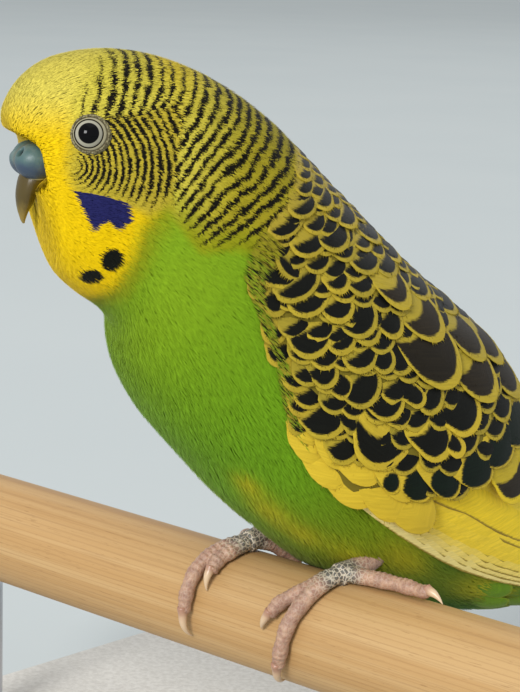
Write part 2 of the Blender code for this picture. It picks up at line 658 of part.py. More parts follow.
def make_stand():
    """A flat base with rounded corners and two short rods, hollowed at the top to cradle the perch."""
    width, depth, thick = BASE_SIZE
    outline = []
    for k, (sx, sy) in enumerate(((1, 1), (-1, 1), (-1, -1), (1, -1))):
        for turn in np.linspace(k * 90, k * 90 + 90, 7):
            a = math.radians(turn)
            outline.append((sx * (width / 2 - BASE_CORNER), sy * (depth / 2 - BASE_CORNER), math.cos(a), math.sin(a)))
    rings = []
    for height, inset in ((0, 0), (thick - BASE_CHAMFER, 0), (thick, BASE_CHAMFER)):
        rings.append([(x + c * (BASE_CORNER - inset), y + s * (BASE_CORNER - inset), height)
                      for x, y, c, s in outline])
    tube("stand_base", rings, material("stand", 0.5))
    for side, sign in (("left", -1), ("right", 1)):
        x = sign * ROD_SPREAD
        path = [(x, GRIP[1], thick + GAP), (x, GRIP[1], GRIP[2])]
        rod = rod_through("stand_rod_" + side, path, (ROD_RADIUS, ROD_RADIUS), material("rod", 0.35, 1.0), 24)
        combine(rod, [round_bar("cradle", PERCH_RADIUS + GAP, PERCH_LENGTH)], "DIFFERENCE")


def main():
    for old in list(bpy.data.objects):
        bpy.data.objects.remove(old)
    make_head()
    body_length("neck", HEAD_CUT, NECK_CUT, NECK_STEP, material("neck", 0.8))
    make_torso()
    make_tail()
    for side in ("left", "right"):
        make_wing(side)
        make_leg(side, "leg_" + side)
    round_bar("perch", PERCH_RADIUS, PERCH_LENGTH, PERCH_CHAMFER)
    make_stand()


main()
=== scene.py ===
# %% [markdown]
# # A budgerigar on a dowel perch
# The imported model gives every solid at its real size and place. This notebook keeps that frame and dresses it:
# one skin under thousands of small feather tips, wing and tail feathers one by one, a bright eye, a horn bill,
# scaly feet, and wood for the perch. Nothing is fitted by eye, since each piece is built on the same body
# surface as the solids.

import math

import bpy
import numpy as np
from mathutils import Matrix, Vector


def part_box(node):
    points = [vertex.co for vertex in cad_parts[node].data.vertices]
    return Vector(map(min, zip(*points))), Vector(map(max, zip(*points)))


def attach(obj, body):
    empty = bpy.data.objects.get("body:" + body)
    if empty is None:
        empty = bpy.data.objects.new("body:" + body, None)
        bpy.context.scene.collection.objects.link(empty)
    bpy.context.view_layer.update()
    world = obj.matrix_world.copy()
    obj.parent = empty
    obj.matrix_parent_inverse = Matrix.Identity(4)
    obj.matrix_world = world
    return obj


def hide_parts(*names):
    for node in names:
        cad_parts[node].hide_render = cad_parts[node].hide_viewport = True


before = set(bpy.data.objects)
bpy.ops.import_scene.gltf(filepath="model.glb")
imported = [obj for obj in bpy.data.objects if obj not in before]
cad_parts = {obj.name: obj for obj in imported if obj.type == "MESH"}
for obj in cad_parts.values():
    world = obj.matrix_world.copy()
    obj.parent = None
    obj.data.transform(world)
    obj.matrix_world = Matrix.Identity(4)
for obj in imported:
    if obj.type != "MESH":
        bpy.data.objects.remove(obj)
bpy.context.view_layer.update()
MM = 0.001

# %% [markdown]
# ## Camera
# The photograph was taken a hand's width from the bird, from its left and a little above. The camera is set by
# the direction that it looks from, its distance from the bird's grip on the perch, and the picture's point
# where that grip lies. A long lens at a short distance keeps the same perspective. Placing it from these few
# values is surer than turning it by hand until it fits.

# %% Camera
PICTURE_WIDTH, PICTURE_HEIGHT = 520, 692
GRIP_ALONG = 6.0             # mm, middle of the bird's grip from the middle of the perch
VIEW_AZIMUTH, VIEW_ELEVATION, VIEW_ROLL = 42.6, 11.2, 1.6   # degrees
VIEW_DISTANCE = 350.0        # mm from the lens to the grip
PIXELS_PER_MM = 6.081        # at that distance
GRIP_IN_PICTURE = (290.0, 619.9)
SENSOR = 36.0                # mm over the longer side of the picture

perch_low, perch_high = (np.array(corner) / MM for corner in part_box("perch"))
PERCH_RADIUS = (perch_high[2] - perch_low[2]) / 2
PERCH_LENGTH = perch_high[0] - perch_low[0]
GRIP = (perch_low + perch_high) / 2 + (GRIP_ALONG, 0, 0)


def add_camera():
    a, e, r = (math.radians(v) for v in (VIEW_AZIMUTH, VIEW_ELEVATION, VIEW_ROLL))
    back = np.array([math.sin(a) * math.cos(e), -math.cos(a) * math.cos(e), math.sin(e)])
    level = np.cross(-back, (0, 0, 1))
    level /= np.linalg.norm(level)
    upright = np.cross(level, -back)
    right = math.cos(r) * level + math.sin(r) * upright
    up = -math.sin(r) * level + math.cos(r) * upright
    focal = PIXELS_PER_MM * VIEW_DISTANCE
    across = (GRIP_IN_PICTURE[0] - PICTURE_WIDTH / 2) / focal
    down = (GRIP_IN_PICTURE[1] - PICTURE_HEIGHT / 2) / focal
    place = GRIP - VIEW_DISTANCE * (right * across - up * down - back)
    data = bpy.data.cameras.new("camera")
    data.sensor_fit = "VERTICAL"
    data.sensor_height = SENSOR
    data.lens = focal / PICTURE_HEIGHT * SENSOR
    data.clip_start = 0.01
    camera = bpy.data.objects.new("camera", data)
    bpy.context.scene.collection.objects.link(camera)
    matrix = np.eye(4)
    matrix[:3, 0], matrix[:3, 1], matrix[:3, 2], matrix[:3, 3] = right, up, back, place * MM
    camera.matrix_world = matrix.T.tolist()
    bpy.context.scene.camera = camera
    print("camera at", np.round(place), "mm, lens", round(data.lens, 1))


add_camera()

# %% [markdown]
# ## Colour and finish helpers
# Colours are noted as the 0 to 255 values that a picture shows and are turned to linear light, which is what
# shaders work in. A finish is a node tree. Writing one by hand takes three calls for each node, so a small
# workbench class keeps the wiring short: `node` adds one and `mix`, `math` and `ramp` are the ones used most.

# %% Finish helpers
def colour(red, green, blue):
    values = np.array([red, green, blue]) / 255
    return np.where(values < 0.04045, values / 12.92, ((values + 0.055) / 1.055) ** 2.4)


class Finish:
    """A material on a Principled shader, with short calls for the nodes that feed it."""

    def __init__(self, name, roughness=0.6, **sockets):
        self.material = bpy.data.materials.new(name)
        self.material.use_nodes = True
        self.tree = self.material.node_tree
        self.shader = self.tree.nodes["Principled BSDF"]
        self.shader.inputs["Roughness"].default_value = roughness
        for socket, value in sockets.items():
            self.shader.inputs[socket.replace("_", " ")].default_value = value

    def node(self, kind, inputs=None, **settings):
        made = self.tree.nodes.new("ShaderNode" + kind)
        for key, value in settings.items():
            setattr(made, key, value)
        for key, value in (inputs or {}).items():
            self.feed(made.inputs[key], value)
        return made

    def feed(self, socket, value):
        if isinstance(value, bpy.types.NodeSocket):
            self.tree.links.new(value, socket)
        elif isinstance(value, (int, float)):
            socket.default_value = value
        else:
            value = tuple(value)
            socket.default_value = value + (1.0,) if socket.type == "RGBA" and len(value) == 3 else value

    def math(self, operation, first, second=0.5, third=0.5):
        made = self.node("Math", operation=operation)
        for socket, value in zip(made.inputs, (first, second, third)):
            self.feed(socket, value)
        return made.outputs[0]

    def mix(self, share, first, second, blend="MIX"):
        made = self.node("Mix", data_type="RGBA", blend_type=blend)
        self.feed(made.inputs[0], share)
        self.feed(made.inputs[6], first)
        self.feed(made.inputs[7], second)
        return made.outputs[2]

    def step(self, value, low, high):
        """0 under low, 1 over high, smooth between."""
        made = self.node("MapRange", interpolation_type="SMOOTHSTEP", clamp=True)
        for socket, number in zip(made.inputs, (value, low, high, 0.0, 1.0)):
            self.feed(socket, number)
        return made.outputs[0]

    def noise(self, where, scale, detail=2.0, roughness=0.5):
        made = self.node("TexNoise", {"Scale": scale, "Detail": detail, "Roughness": roughness})
        if where is not None:
            self.feed(made.inputs["Vector"], where)
        return made.outputs["Fac"]

    def stretched(self, scale):
        """The object's own coordinates in millimetres, stretched along one way to draw grain."""
        place = self.node("TexCoord").outputs["Object"]
        return self.node("Mapping", {"Vector": place, "Scale": tuple(v / MM for v in scale)}).outputs[0]

    def attribute(self, name):
        return self.node("Attribute", attribute_name=name)

    def bump(self, height, strength, distance):
        made = self.node("Bump", {"Height": height, "Strength": strength, "Distance": distance * MM})
        self.feed(self.shader.inputs["Normal"], made.outputs[0])

    def paint(self, value):
        self.feed(self.shader.inputs["Base Color"], value)
        return self.material


# %% [markdown]
# ## Floor and light
# A plain pale floor and soft studio light stand in for the room. A bright, even world does most of the work. Three
# area lights shape the form: one key from the camera's left, a wide one overhead, and a weak one from behind
# that separates the back from the ground. They stand three metres off, so that they light the floor evenly too.

# %% Floor and light
FLOOR_SIDE = 40.0            # m
WORLD_LIGHT = 0.92
BEAM = 120.0                 # degrees, so that the floor near a light stays calm
LIGHTS = [                   # name, azimuth and elevation seen from the bird, distance m, side m, watts
    ("key", 18, 27, 6.0, 1.8, 139.0),
    ("overhead", 80, 80, 3.0, 2.2, 3.2),
    ("rim", 190, 35, 4.0, 1.5, 7.9),
]


def grid_mesh(name, corners, faces):
    mesh = bpy.data.meshes.new(name)
    mesh.from_pydata([tuple(p) for p in corners], [], faces)
    made = bpy.data.objects.new(name, mesh)
    bpy.context.scene.collection.objects.link(made)
    return made


def add_floor():
    half = FLOOR_SIDE / 2
    floor = grid_mesh("floor", [(-half, -half, 0), (half, -half, 0), (half, half, 0), (-half, half, 0)],
                      [(0, 1, 2, 3)])
    finish = Finish("floor_paint", 0.95, Specular_IOR_Level=0.0)
    shade = finish.noise(finish.node("TexCoord").outputs["Object"], 6.0)
    floor.data.materials.append(finish.paint(finish.mix(shade, colour(184, 190, 190), colour(190, 195, 194))))


def add_light(name, azimuth, elevation, distance, side, watts):
    a, e = math.radians(azimuth), math.radians(elevation)
    toward = np.array([math.sin(a) * math.cos(e), -math.cos(a) * math.cos(e), math.sin(e)])
    data = bpy.data.lights.new(name, "AREA")
    data.size = side
    data.energy = watts
    data.spread = math.radians(BEAM)
    light = bpy.data.objects.new(name, data)
    light.location = GRIP * MM + toward * distance
    spin = light.location.copy()
    spin.xyz = tuple(toward)
    light.rotation_euler = spin.to_track_quat("Z", "Y").to_euler()
    bpy.context.scene.collection.objects.link(light)


add_floor()
for light in LIGHTS:
    add_light(*light)
world = bpy.data.worlds.new("studio")
world.use_nodes = True
world.node_tree.nodes["Background"].inputs["Color"].default_value = (*colour(226, 229, 232), 1.0)
world.node_tree.nodes["Background"].inputs["Strength"].default_value = WORLD_LIGHT
bpy.context.scene.world = world
bpy.context.scene.view_settings.view_transform = "Standard"   # keeps strong yellow as strong as it is
print("lights", [name for name, *_ in LIGHTS])

# %% [markdown]
# ## The body's surface
# A bird under its feathers is one smooth form, so one loft makes it: a row of stations from the face to the
# tail, each with the height of its back and belly and its half width. A place on the bird is then a station and
# an angle from the middle of the back to the left. Skin, feather tips and wings all use these two numbers,
# which keeps each of them on the surface from every side.

# %% Stations
STATIONS = np.array([        # back and up of the upper edge, back and up of the lower edge, half width, mm
    (-47.4, 67.6, -47.2, 66.6, 0.3),       # face
    (-50.8, 73.4, -45.6, 60.0, 4.9),       # root of the bill
    (-49.8, 77.4, -44.6, 55.2, 8.2),       # brow
    (-46.8, 80.9, -43.0, 50.8, 11.0),      # lores
    (-42.2, 83.2, -39.8, 47.6, 13.1),      # eye
    (-34.5, 84.1, -36.6, 45.4, 14.6),      # crown
    (-25.8, 82.6, -34.4, 43.0, 15.5),      # ear
    (-17.3, 78.8, -33.8, 40.4, 16.4),      # nape
    (-9.4, 73.3, -33.2, 37.2, 17.6),       # neck
    (-2.6, 67.0, -30.8, 32.2, 19.0),       # shoulder
    (4.7, 59.6, -26.2, 26.0, 20.2),        # chest
    (11.8, 52.4, -19.8, 19.2, 20.8),       # breast
    (19.4, 45.7, -13.0, 12.2, 20.8),       # keel
    (27.3, 39.4, -5.0, 5.6, 20.4),         # belly
    (34.9, 32.2, 4.6, -1.6, 19.0),         # thigh
    (42.2, 23.8, 17.4, -8.4, 16.0),        # vent
    (50.0, 13.8, 34.0, -13.0, 12.4),       # rump
    (60.0, 3.2, 51.0, -14.6, 9.2),         # root of the tail
    (71.0, -6.4, 64.0, -18.6, 7.8),        # base of the tail
    (84.0, -16.2, 79.0, -24.0, 6.4),       # tail coverts
])
ROUNDNESS = 2.15             # exponent of each cross section, 2 is an ellipse
BODY_TURN = 12.0             # degrees, the whole bird towards -X
HEAD_TURN = 17.0             # degrees, the head further the same way
NECK_PIVOT = (0.0, -25.0)    # left and back, where the head turns
TURN_FULL, TURN_NONE = 6.0, 10.0   # stations between which the turn of the head fades


def ease(x, low=0.0, high=1.0):
    x = np.clip((x - low) / (high - low), 0.0, 1.0)
    return x * x * (3.0 - 2.0 * x)


def turned(points, degrees, pivot=(0.0, 0.0)):
    a = np.radians(degrees)
    x, y = points[..., 0] - pivot[0], points[..., 1] - pivot[1]
    return np.stack([pivot[0] + x * np.cos(a) - y * np.sin(a),
                     pivot[1] + x * np.sin(a) + y * np.cos(a), points[..., 2]], -1)


def between_stations(station):
    last = len(STATIONS) - 1
    station = np.clip(station, 0.0, last)
    i = np.minimum(station.astype(int), last - 1)
    f = (station - i)[..., None]
    p0, p1 = STATIONS[np.maximum(i - 1, 0)], STATIONS[i]
    p2, p3 = STATIONS[i + 1], STATIONS[np.minimum(i + 2, last)]
    return 0.5 * (2 * p1 + (p2 - p0) * f + (2 * p0 - 5 * p1 + 4 * p2 - p3) * f**2
                  + (3 * p1 - p0 - 3 * p2 + p3) * f**3)


def straight_body(station, angle):
    """A place in the bird's own axes, left, back and up in mm, before the head turns."""
    back_d, up_d, back_v, up_v, half = np.moveaxis(between_stations(station), -1, 0)
    a = np.radians(angle)
    power = 2.0 / ROUNDNESS
    side = np.sign(np.sin(a)) * np.abs(np.sin(a)) ** power
    rise = np.sign(np.cos(a)) * np.abs(np.cos(a)) ** power
    back = (back_d + back_v) / 2 + (back_d - back_v) / 2 * rise
    up = (up_d + up_v) / 2 + (up_d - up_v) / 2 * rise
    return np.stack([half * side, back, up], -1)


def to_frame(points):
    """From the bird's own axes, measured from the top of the perch, to the model's frame."""
    return turned(np.asarray(points, float), -BODY_TURN) + GRIP + (0, 0, PERCH_RADIUS)


def head_to_frame(points):
    return to_frame(turned(np.asarray(points, float), -HEAD_TURN, NECK_PIVOT))


def body(station, angle):
    points = straight_body(station, angle)
    turn = HEAD_TURN * (1 - ease(station, TURN_FULL, TURN_NONE))
    return to_frame(turned(points, -turn, NECK_PIVOT))


def place(station, angle):
    """A point of the surface with its normal, and how it moves for one station and for one degree."""
    station, angle = np.broadcast_arrays(np.asarray(station, float), np.asarray(angle, float))
    step_t, step_a = 1e-3, 0.1
    per_station = (body(station + step_t, angle) - body(station - step_t, angle)) / (2 * step_t)
    per_degree = (body(station, angle + step_a) - body(station, angle - step_a)) / (2 * step_a)
    normal = np.cross(per_degree, per_station)
    normal /= np.linalg.norm(normal, axis=-1, keepdims=True) + 1e-12
    return body(station, angle), normal, per_station, per_degree


def over(station, angle, height):
    point, normal, _, _ = place(station, angle)
    return point + normal * np.asarray(height)[..., None]


def steps_for(way, per_station, per_degree):
    """Stations and degrees that move a point by a tangent way."""
    e, f, g = ((a * b).sum(-1) for a, b in
               ((per_station, per_station), (per_station, per_degree), (per_degree, per_degree)))
    r, s = (way * per_station).sum(-1), (way * per_degree).sum(-1)
    room = e * g - f * f + 1e-12
    return (g * r - f * s) / room, (e * s - f * r) / room


def mirrored(points):
    """The same places on the bird's other side."""
    straight = turned(points - GRIP, BODY_TURN)
    return turned(straight * (-1, 1, 1), -BODY_TURN) + GRIP


def folded(angle):
    """The angle from the middle of the back on either side, 0 to 180."""
    return 180.0 - np.abs(180.0 - np.mod(angle, 360.0))


print("body", len(STATIONS), "stations, breast at", np.round(body(np.array(11.0), np.array(180.0))), "mm")

# %% [markdown]
# ## Markings
# Skin and feather tips wear the same markings, so one function gives them for any place. It returns a ground
# colour, a phase that grows by one from bar to bar, and the share of each bar that is dark. The shader then draws
# sharp bars from phase and share, which needs far fewer points than painting them on the mesh would. Two
# families of bars meet on a real budgerigar: rings round the crown and neck, and fine arcs round the ear.

# %% Markings
FOREHEAD, CHEEK_YELLOW = colour(208, 192, 80), colour(226, 188, 4)
CHIN_YELLOW = colour(240, 200, 0)
CROWN_YELLOW, EAR_YELLOW = colour(200, 186, 66), colour(182, 162, 48)
NAPE_OLIVE, NAPE_GOLD = colour(168, 154, 34), colour(212, 184, 24)
OLIVE_GREEN = colour(142, 146, 18)
CHEST_GREEN, BREAST_GREEN = colour(126, 160, 26), colour(109, 156, 23)
# The darker green is painted shade, on the lower underside towards the vent and just below the wing.
BELLY_GREEN, UNDERSIDE_SHADE_GREEN = colour(114, 140, 18), colour(56, 98, 14)
BELLY_YELLOW = colour(178, 172, 24)
CHEEK_VIOLET, SPOT_BLACK = colour(33, 34, 84), colour(18, 20, 14)

BARS_START = [(0, 4.72), (32, 4.28), (50, 3.80), (61, 3.66), (76, 3.42), (85, 3.28), (96, 3.48)]  # angle, station
BARS_LOW = [(3.4, 92), (3.6, 94), (5.68, 96), (6.12, 90), (6.68, 95), (7.28, 98), (7.84, 90), (8.3, 86)]
GREEN_START = [(94, 5.8), (104, 5.5), (118, 5.4), (138, 5.12), (160, 4.5), (180, 4.35)]  # angle, station
EAR_CENTRE = (-43.3, 68.0)   # back and up, mm
EAR_PERIOD, EAR_GROWTH = 0.62, 0.046   # mm between arcs at the centre, and more for each mm out
EAR_BACK = [(64.8, -28.7), (69.1, -27.9), (74.5, -26.8), (77.8, -26.8)]   # up, back
EAR_TOP, EAR_TOP_SLOPE = (-38.4, 74.6), 0.2
RINGS = [(3.0, 0.0), (5.0, 7.6), (6.0, 12.5), (7.5, 19.8), (9.5, 28.5), (12.0, 37.0)]   # station, rings before it
RING_LEAN = 1.0              # stations that a ring leans forward from the crown to the side
CHEEK_PATCH = [(-42.7, 64.4), (-39.3, 63.9), (-35.0, 62.7), (-34.6, 60.4), (-36.3, 58.6), (-38.0, 60.3),
               (-39.7, 58.3), (-41.2, 61.3)]     # back, up
THROAT_SPOTS = [(-36.9, 54.1, 1.55, 1.8), (-39.2, 51.1, 1.4, 1.25)]   # back, up, half sizes
BELLY_PATCHES = [(12.2, 159, 0.5, 9), (12.9, 156, 0.35, 8), (13.7, 148, 0.45, 9), (14.2, 130, 0.5, 9),
                 (15.8, 127, 0.6, 12), (11.5, 157, 0.3, 6)]         # station, angle, half sizes


def inside(x, y, outline):
    """Which points lie in a closed outline, by counting the sides that a level line crosses."""
    hit = np.zeros(x.shape, bool)
    for (x0, y0), (x1, y1) in zip(outline, outline[1:] + outline[:1]):
        crosses = (y0 > y) != (y1 > y)
        hit ^= crosses & (x < (x1 - x0) * (y - y0) / (y1 - y0 + 1e-9) + x0)
    return hit


def curve(x, points):
    return np.interp(x, [p[0] for p in points], [p[1] for p in points])


def blend(first, second, share):
    return first + (second - first) * np.asarray(share)[..., None]


def in_ear(back, up, stray=0.0):
    back, up = back + 9 * stray, up + 14 * stray
    return (up < EAR_TOP[1] + EAR_TOP_SLOPE * (back - EAR_TOP[0])) & (back < curve(up, EAR_BACK))


def bar_phase(station, angle, ear):
    """Where a place lies in its family of bars."""
    angle = folded(angle)
    _, back, up = np.moveaxis(straight_body(station, angle), -1, 0)
    far = np.hypot(back - EAR_CENTRE[0], up - EAR_CENTRE[1])
    arcs = np.log1p(EAR_GROWTH / EAR_PERIOD * far) / EAR_GROWTH
    rings = curve(station + RING_LEAN * (angle / 90) ** 2.5, RINGS)
    return np.where(ear, arcs, rings)


def markings(station, angle, stray=0.0):
    """Ground colour, dark share of the bars, and which places belong to the ear's arcs."""
    angle = folded(angle)
    _, back, up = np.moveaxis(straight_body(station, angle), -1, 0)
    station = station + stray
    yellow = blend(CHIN_YELLOW[None], CHEEK_YELLOW, ease(up, 54, 64))
    yellow = blend(yellow, FOREHEAD, ease(up, 71, 79))
    green = blend(CHEST_GREEN[None], BREAST_GREEN, ease(station, 7, 11))
    green = blend(green, BELLY_GREEN, ease(station, 11.5, 13.5))
    # Painted shade: the green darkens on the lower underside and just below the wing.
    green = blend(green, UNDERSIDE_SHADE_GREEN, ease(station, 13.2, 15.5) * ease(angle, 95, 115))
    for t, a, half_t, half_a in BELLY_PATCHES:
        near = np.exp(-((station - t) / half_t) ** 2 - ((angle - a) / half_a) ** 2)
        green = blend(green, BELLY_YELLOW, 0.85 * near)
    edge = curve(angle, GREEN_START)
    ground = blend(yellow, OLIVE_GREEN, ease(station, edge - 0.35, edge + 0.35))
    ground = blend(ground, green, ease(station, edge + 0.1, edge + 1.0))
    start, low = curve(angle, BARS_START), curve(station, BARS_LOW)
    ear = in_ear(back, up, stray)
    barred = blend(CROWN_YELLOW[None], EAR_YELLOW, ear * 1.0)
    barred = blend(barred, NAPE_OLIVE, ease(station, 6.2, 7.6) * ~ear)
    gold = np.exp(-((station - 6.05) / 0.45) ** 2 - (angle / 34) ** 2)
    barred = blend(barred, NAPE_GOLD, gold)
    barred = blend(barred, OLIVE_GREEN, ease(angle, low - 14, low) * ease(station, 5.8, 6.8))
    in_bars = ease(station, start - 0.25, start + 0.45) * (1 - ease(angle, low - 2, low + 3))
    in_bars = in_bars * (1 - ease(station, 8.7, 9.4))
    ground = blend(ground, barred, in_bars)
    dark = 0.58 - 0.04 * ease(station, 5.2, 6.4)
    before_ear = EAR_CENTRE[0] - 0.4 * (EAR_CENTRE[1] - up)
    dark = np.where(ear, dark * ease(back, before_ear + 0.1, before_ear + 1.3), dark)
    dark = dark * ease(station, start - 0.1, start + 0.9) * (1 - ease(angle, low - 8, low + 1))
    dark = dark * (1 - 0.75 * gold) * (1 - ease(station, 8.7, 9.2))
    patch = inside(back, up, CHEEK_PATCH)
    ground = np.where(patch[..., None], CHEEK_VIOLET, ground)
    dark = np.where(patch, 0.0, dark)
    for b, u, half_b, half_u in THROAT_SPOTS:
        spot = ((back - b) / half_b) ** 2 + ((up - u) / half_u) ** 2 < 1
        ground = np.where(spot[..., None], SPOT_BLACK, ground)
    return ground, dark, ear


print("markings at the forehead", np.round(markings(np.array([2.0]), np.array([10.0]))[0], 2))

# %% [markdown]
# The coat's finish reads what each point carries. `ground` is the colour, and `bars` holds the phase, the dark
# share and a random number for the tuft. A sine of the phase against the share gives the bar, and a fine noise
# roughens its edge like separate barbs. Sheen gives the soft bright edge that down has, set on the shader.

# %% Coat finish
BAR_DARK = colour(20, 17, 9)
BAR_EDGE = 0.22              # softness of a bar's edge in the sine


def coat_finish():
    finish = Finish("coat", 0.7, Sheen_Weight=0.05, Sheen_Roughness=0.5, Specular_IOR_Level=0.08)
    ground = finish.attribute("ground").outputs["Color"]
    bars = finish.node("SeparateXYZ", {"Vector": finish.attribute("bars").outputs["Vector"]})
    phase, share, tuft = bars.outputs
    ragged = finish.noise(finish.stretched((1, 1, 1)), 4.0)
    turn = finish.math("ADD", phase, finish.math("MULTIPLY_ADD", ragged, 0.56, -0.28))
    for scale, reach in ((0.13, 1.1), (0.42, 0.5)):
        wander = finish.noise(finish.stretched((1, 1, 1)), scale, 1.0)
        turn = finish.math("ADD", turn, finish.math("MULTIPLY_ADD", wander, reach, -reach / 2))
    wave = finish.math("SINE", finish.math("MULTIPLY", turn, 2 * math.pi))
    broken = finish.step(finish.noise(finish.stretched((1, 1, 1)), 0.55, 2.0), 0.28, 0.62)
    share = finish.math("MULTIPLY", share, finish.math("MULTIPLY_ADD", broken, 0.62, 0.48))
    limit = finish.math("COSINE", finish.math("MULTIPLY", share, math.pi))
    over_limit = finish.math("SUBTRACT", wave, limit)
    dark = finish.step(over_limit, -BAR_EDGE, BAR_EDGE)
    dark = finish.math("MULTIPLY", dark, finish.step(share, 0.02, 0.12))
    bright = finish.math("MULTIPLY_ADD", tuft, 0.2, 0.9)
    light = finish.node("CombineXYZ", {"X": bright, "Y": bright, "Z": bright}).outputs[0]
    base = finish.mix(1.0, ground, light, "MULTIPLY")
    return finish.paint(finish.mix(dark, base, BAR_DARK))


COAT = coat_finish()
print("coat finish", len(COAT.node_tree.nodes), "nodes")

# %% [markdown]
# ## Meshes with markings
# Every feathered piece is one mesh from arrays. Points go in once, as millimetres, with a colour and a vector for
# each, and the map `OFBake` says where each tuft's colour lies on an unwrap of the body: its angle across and
# its station along.

# %% Mesh maker
LAST_STATION = len(STATIONS) - 1


def make_piece(name, points, faces, finish, replaced=(), colours=None, vectors=None, bake_map=None,
               smooth=True, normals=None):
    """A mesh piece in the frame that rides on the body, with its finish, slot and attributes."""
    mesh = bpy.data.meshes.new(name)
    faces = np.asarray(faces)
    mesh.vertices.add(len(points))
    mesh.vertices.foreach_set("co", (np.asarray(points, np.float32) * MM).ravel())
    mesh.loops.add(faces.size)
    mesh.loops.foreach_set("vertex_index", faces.astype(np.int32).ravel())
    mesh.polygons.add(len(faces))
    mesh.polygons.foreach_set("loop_start", np.arange(len(faces), dtype=np.int32) * faces.shape[1])
    mesh.polygons.foreach_set("use_smooth", np.full(len(faces), smooth))
    mesh.update(calc_edges=True)
    for key, values in (colours or {}).items():
        layer = mesh.attributes.new(key, "FLOAT_COLOR", "POINT")
        layer.data.foreach_set("color", np.c_[values, np.ones(len(points))].astype(np.float32).ravel())
    for key, values in (vectors or {}).items():
        layer = mesh.attributes.new(key, "FLOAT_VECTOR", "POINT")
        layer.data.foreach_set("vector", np.asarray(values, np.float32).ravel())
    if bake_map is not None:
        layer = mesh.uv_layers.new(name="OFBake")
        layer.data.foreach_set("uv", np.asarray(bake_map, np.float32)[faces.ravel()].ravel())
    mesh.materials.append(finish)
    mesh.validate()
    if normals is not None:
        mesh.normals_split_custom_set_from_vertices(normals)
    made = bpy.data.objects.new(name, mesh)
    bpy.context.scene.collection.objects.link(made)
    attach(made, "root")
    if replaced:
        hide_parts(*replaced)
    print(name, len(mesh.polygons) * (faces.shape[1] - 2), "triangles")
    return made


def clear_of_perch(points, room=0.12):
    """Push what would sink into the perch out to its surface."""
    y, z = points[..., 1] - GRIP[1], points[..., 2] - GRIP[2]
    far = np.hypot(y, z)
    along = np.abs(points[..., 0] - (GRIP[0] - GRIP_ALONG)) < PERCH_LENGTH / 2
    grow = np.where(along & (far < PERCH_RADIUS + room), (PERCH_RADIUS + room) / np.maximum(far, 1e-6), 1.0)
    return np.stack([points[..., 0], GRIP[1] + y * grow, GRIP[2] + z * grow], -1)


# %% [markdown]
# ## Skin
# The skin lies under the solids' surface by the depth of the coat, thin on the face and thicker on the body. It
# closes every gap between the tufts, and it stands for the solids of head, neck and torso.

# %% Skin
SKIN_END = 17.9              # station where the tail's feathers take over
SKIN_STEP, SKIN_AROUND = 0.1, 180
NOTCH_DEPTH = 3.6            # mm that the face lies back round the cere
COAT_DEPTH = [(0.0, 0.25), (2.0, 0.4), (5.0, 0.7), (8.0, 1.0), (11.0, 1.2), (18.0, 1.0)]   # station, mm


def notch(station, angle):
    """How far the face lies back round the cere, mm."""
    left, _, up = np.moveaxis(straight_body(station, angle), -1, 0)
    level = ease(up, 63.2, 65.6) * (1 - ease(up, 68.4, 72.6))
    return NOTCH_DEPTH * level * (1 - ease(np.abs(left), 5.6, 10.2)) * (station < 3.5)


def make_skin():
    stations = np.arange(0.02, SKIN_END, SKIN_STEP)
    angles = np.linspace(0, 360, SKIN_AROUND + 1)
    station, angle = (grid.ravel() for grid in np.meshgrid(stations, angles, indexing="ij"))
    points = clear_of_perch(over(station, angle, -curve(station, COAT_DEPTH) - notch(station, angle)))
    ground, dark, ear = markings(station, angle)
    bars = np.stack([bar_phase(station, angle, ear), dark, np.full(len(dark), 0.2)], -1)
    wide = len(angles)
    row, column = (grid.ravel() for grid in np.meshgrid(range(len(stations) - 1), range(wide - 1),
                                                        indexing="ij"))
    first = row * wide + column
    faces = np.stack([first, first + 1, first + wide + 1, first + wide], -1)
    return make_piece("skin", points, faces, COAT, ("head", "neck", "torso"),
                      {"ground": ground}, {"bars": bars},
                      np.stack([angle / 360, station / LAST_STATION], -1))


make_skin()

# %% [markdown]
# ## Feather tips of head and body
# The small feathers of a budgerigar read as fine, soft streaks: each tip ends in loose barbs. They could be
# particle hair, but hair isn't mesh and can't be exported. So each tuft is a thin closed blade with a ridge,
# five points in all, rooted at the skin and rising to the surface along the lie of the coat. Roots are spread
# evenly over the real area, and each carries the colour of the place where its tip shows. The blades catch
# light nearly as the body under them does, by normals of their own, which is what makes down look soft.

# %% Tufts
BLADE_SHARES = np.array([0, 0.5, 0.5, 0.5, 1])   # root, two edges, ridge and tip: how far along each lies
BLADE_SIDES = np.array([0, -1, 1, 0, 0])
BLADE_RISES = np.array([0, 0, 0, 1, 0])
BLADE_FACES = np.array([(0, 3, 2), (0, 1, 3), (2, 3, 4), (1, 4, 3), (0, 2, 1), (2, 4, 1)])
PATCH = 0.003                # side of one tuft's patch on the bake map
RIDGE, TUFT_ROUND = 0.12, 0.38  # height of a tuft's ridge for its half width, and how round it catches light
SHOWS = 0.8                  # share along a tuft where most of it shows
EYE_STATION, EYE_ANGLE, EYE_DEPTH = 4.13, 68.0, 1.5
EYE_BARE, EYE_BARE_LOW = 2.5, 1.8   # mm round the eye without feathers, and degrees that it lies lower
WING_HIDES = [(9.2, 80, 90), (10, 50, 100), (11, 42, 110), (12, 40, 112), (13, 40, 104), (15, 46, 92),
              (16.4, 52, 80)]     # station, angles between which a wing hides the body


def on_bill(station, angle):
    left, _, up = np.moveaxis(straight_body(station, angle), -1, 0)
    cere = (left / 5.4) ** 2 + ((up - 67.3) / 2.9) ** 2 < 1
    mouth = (np.abs(left) < 1.5) & (up < 66.5) & (up > 59.5)
    return (cere | mouth) & (station < 3)


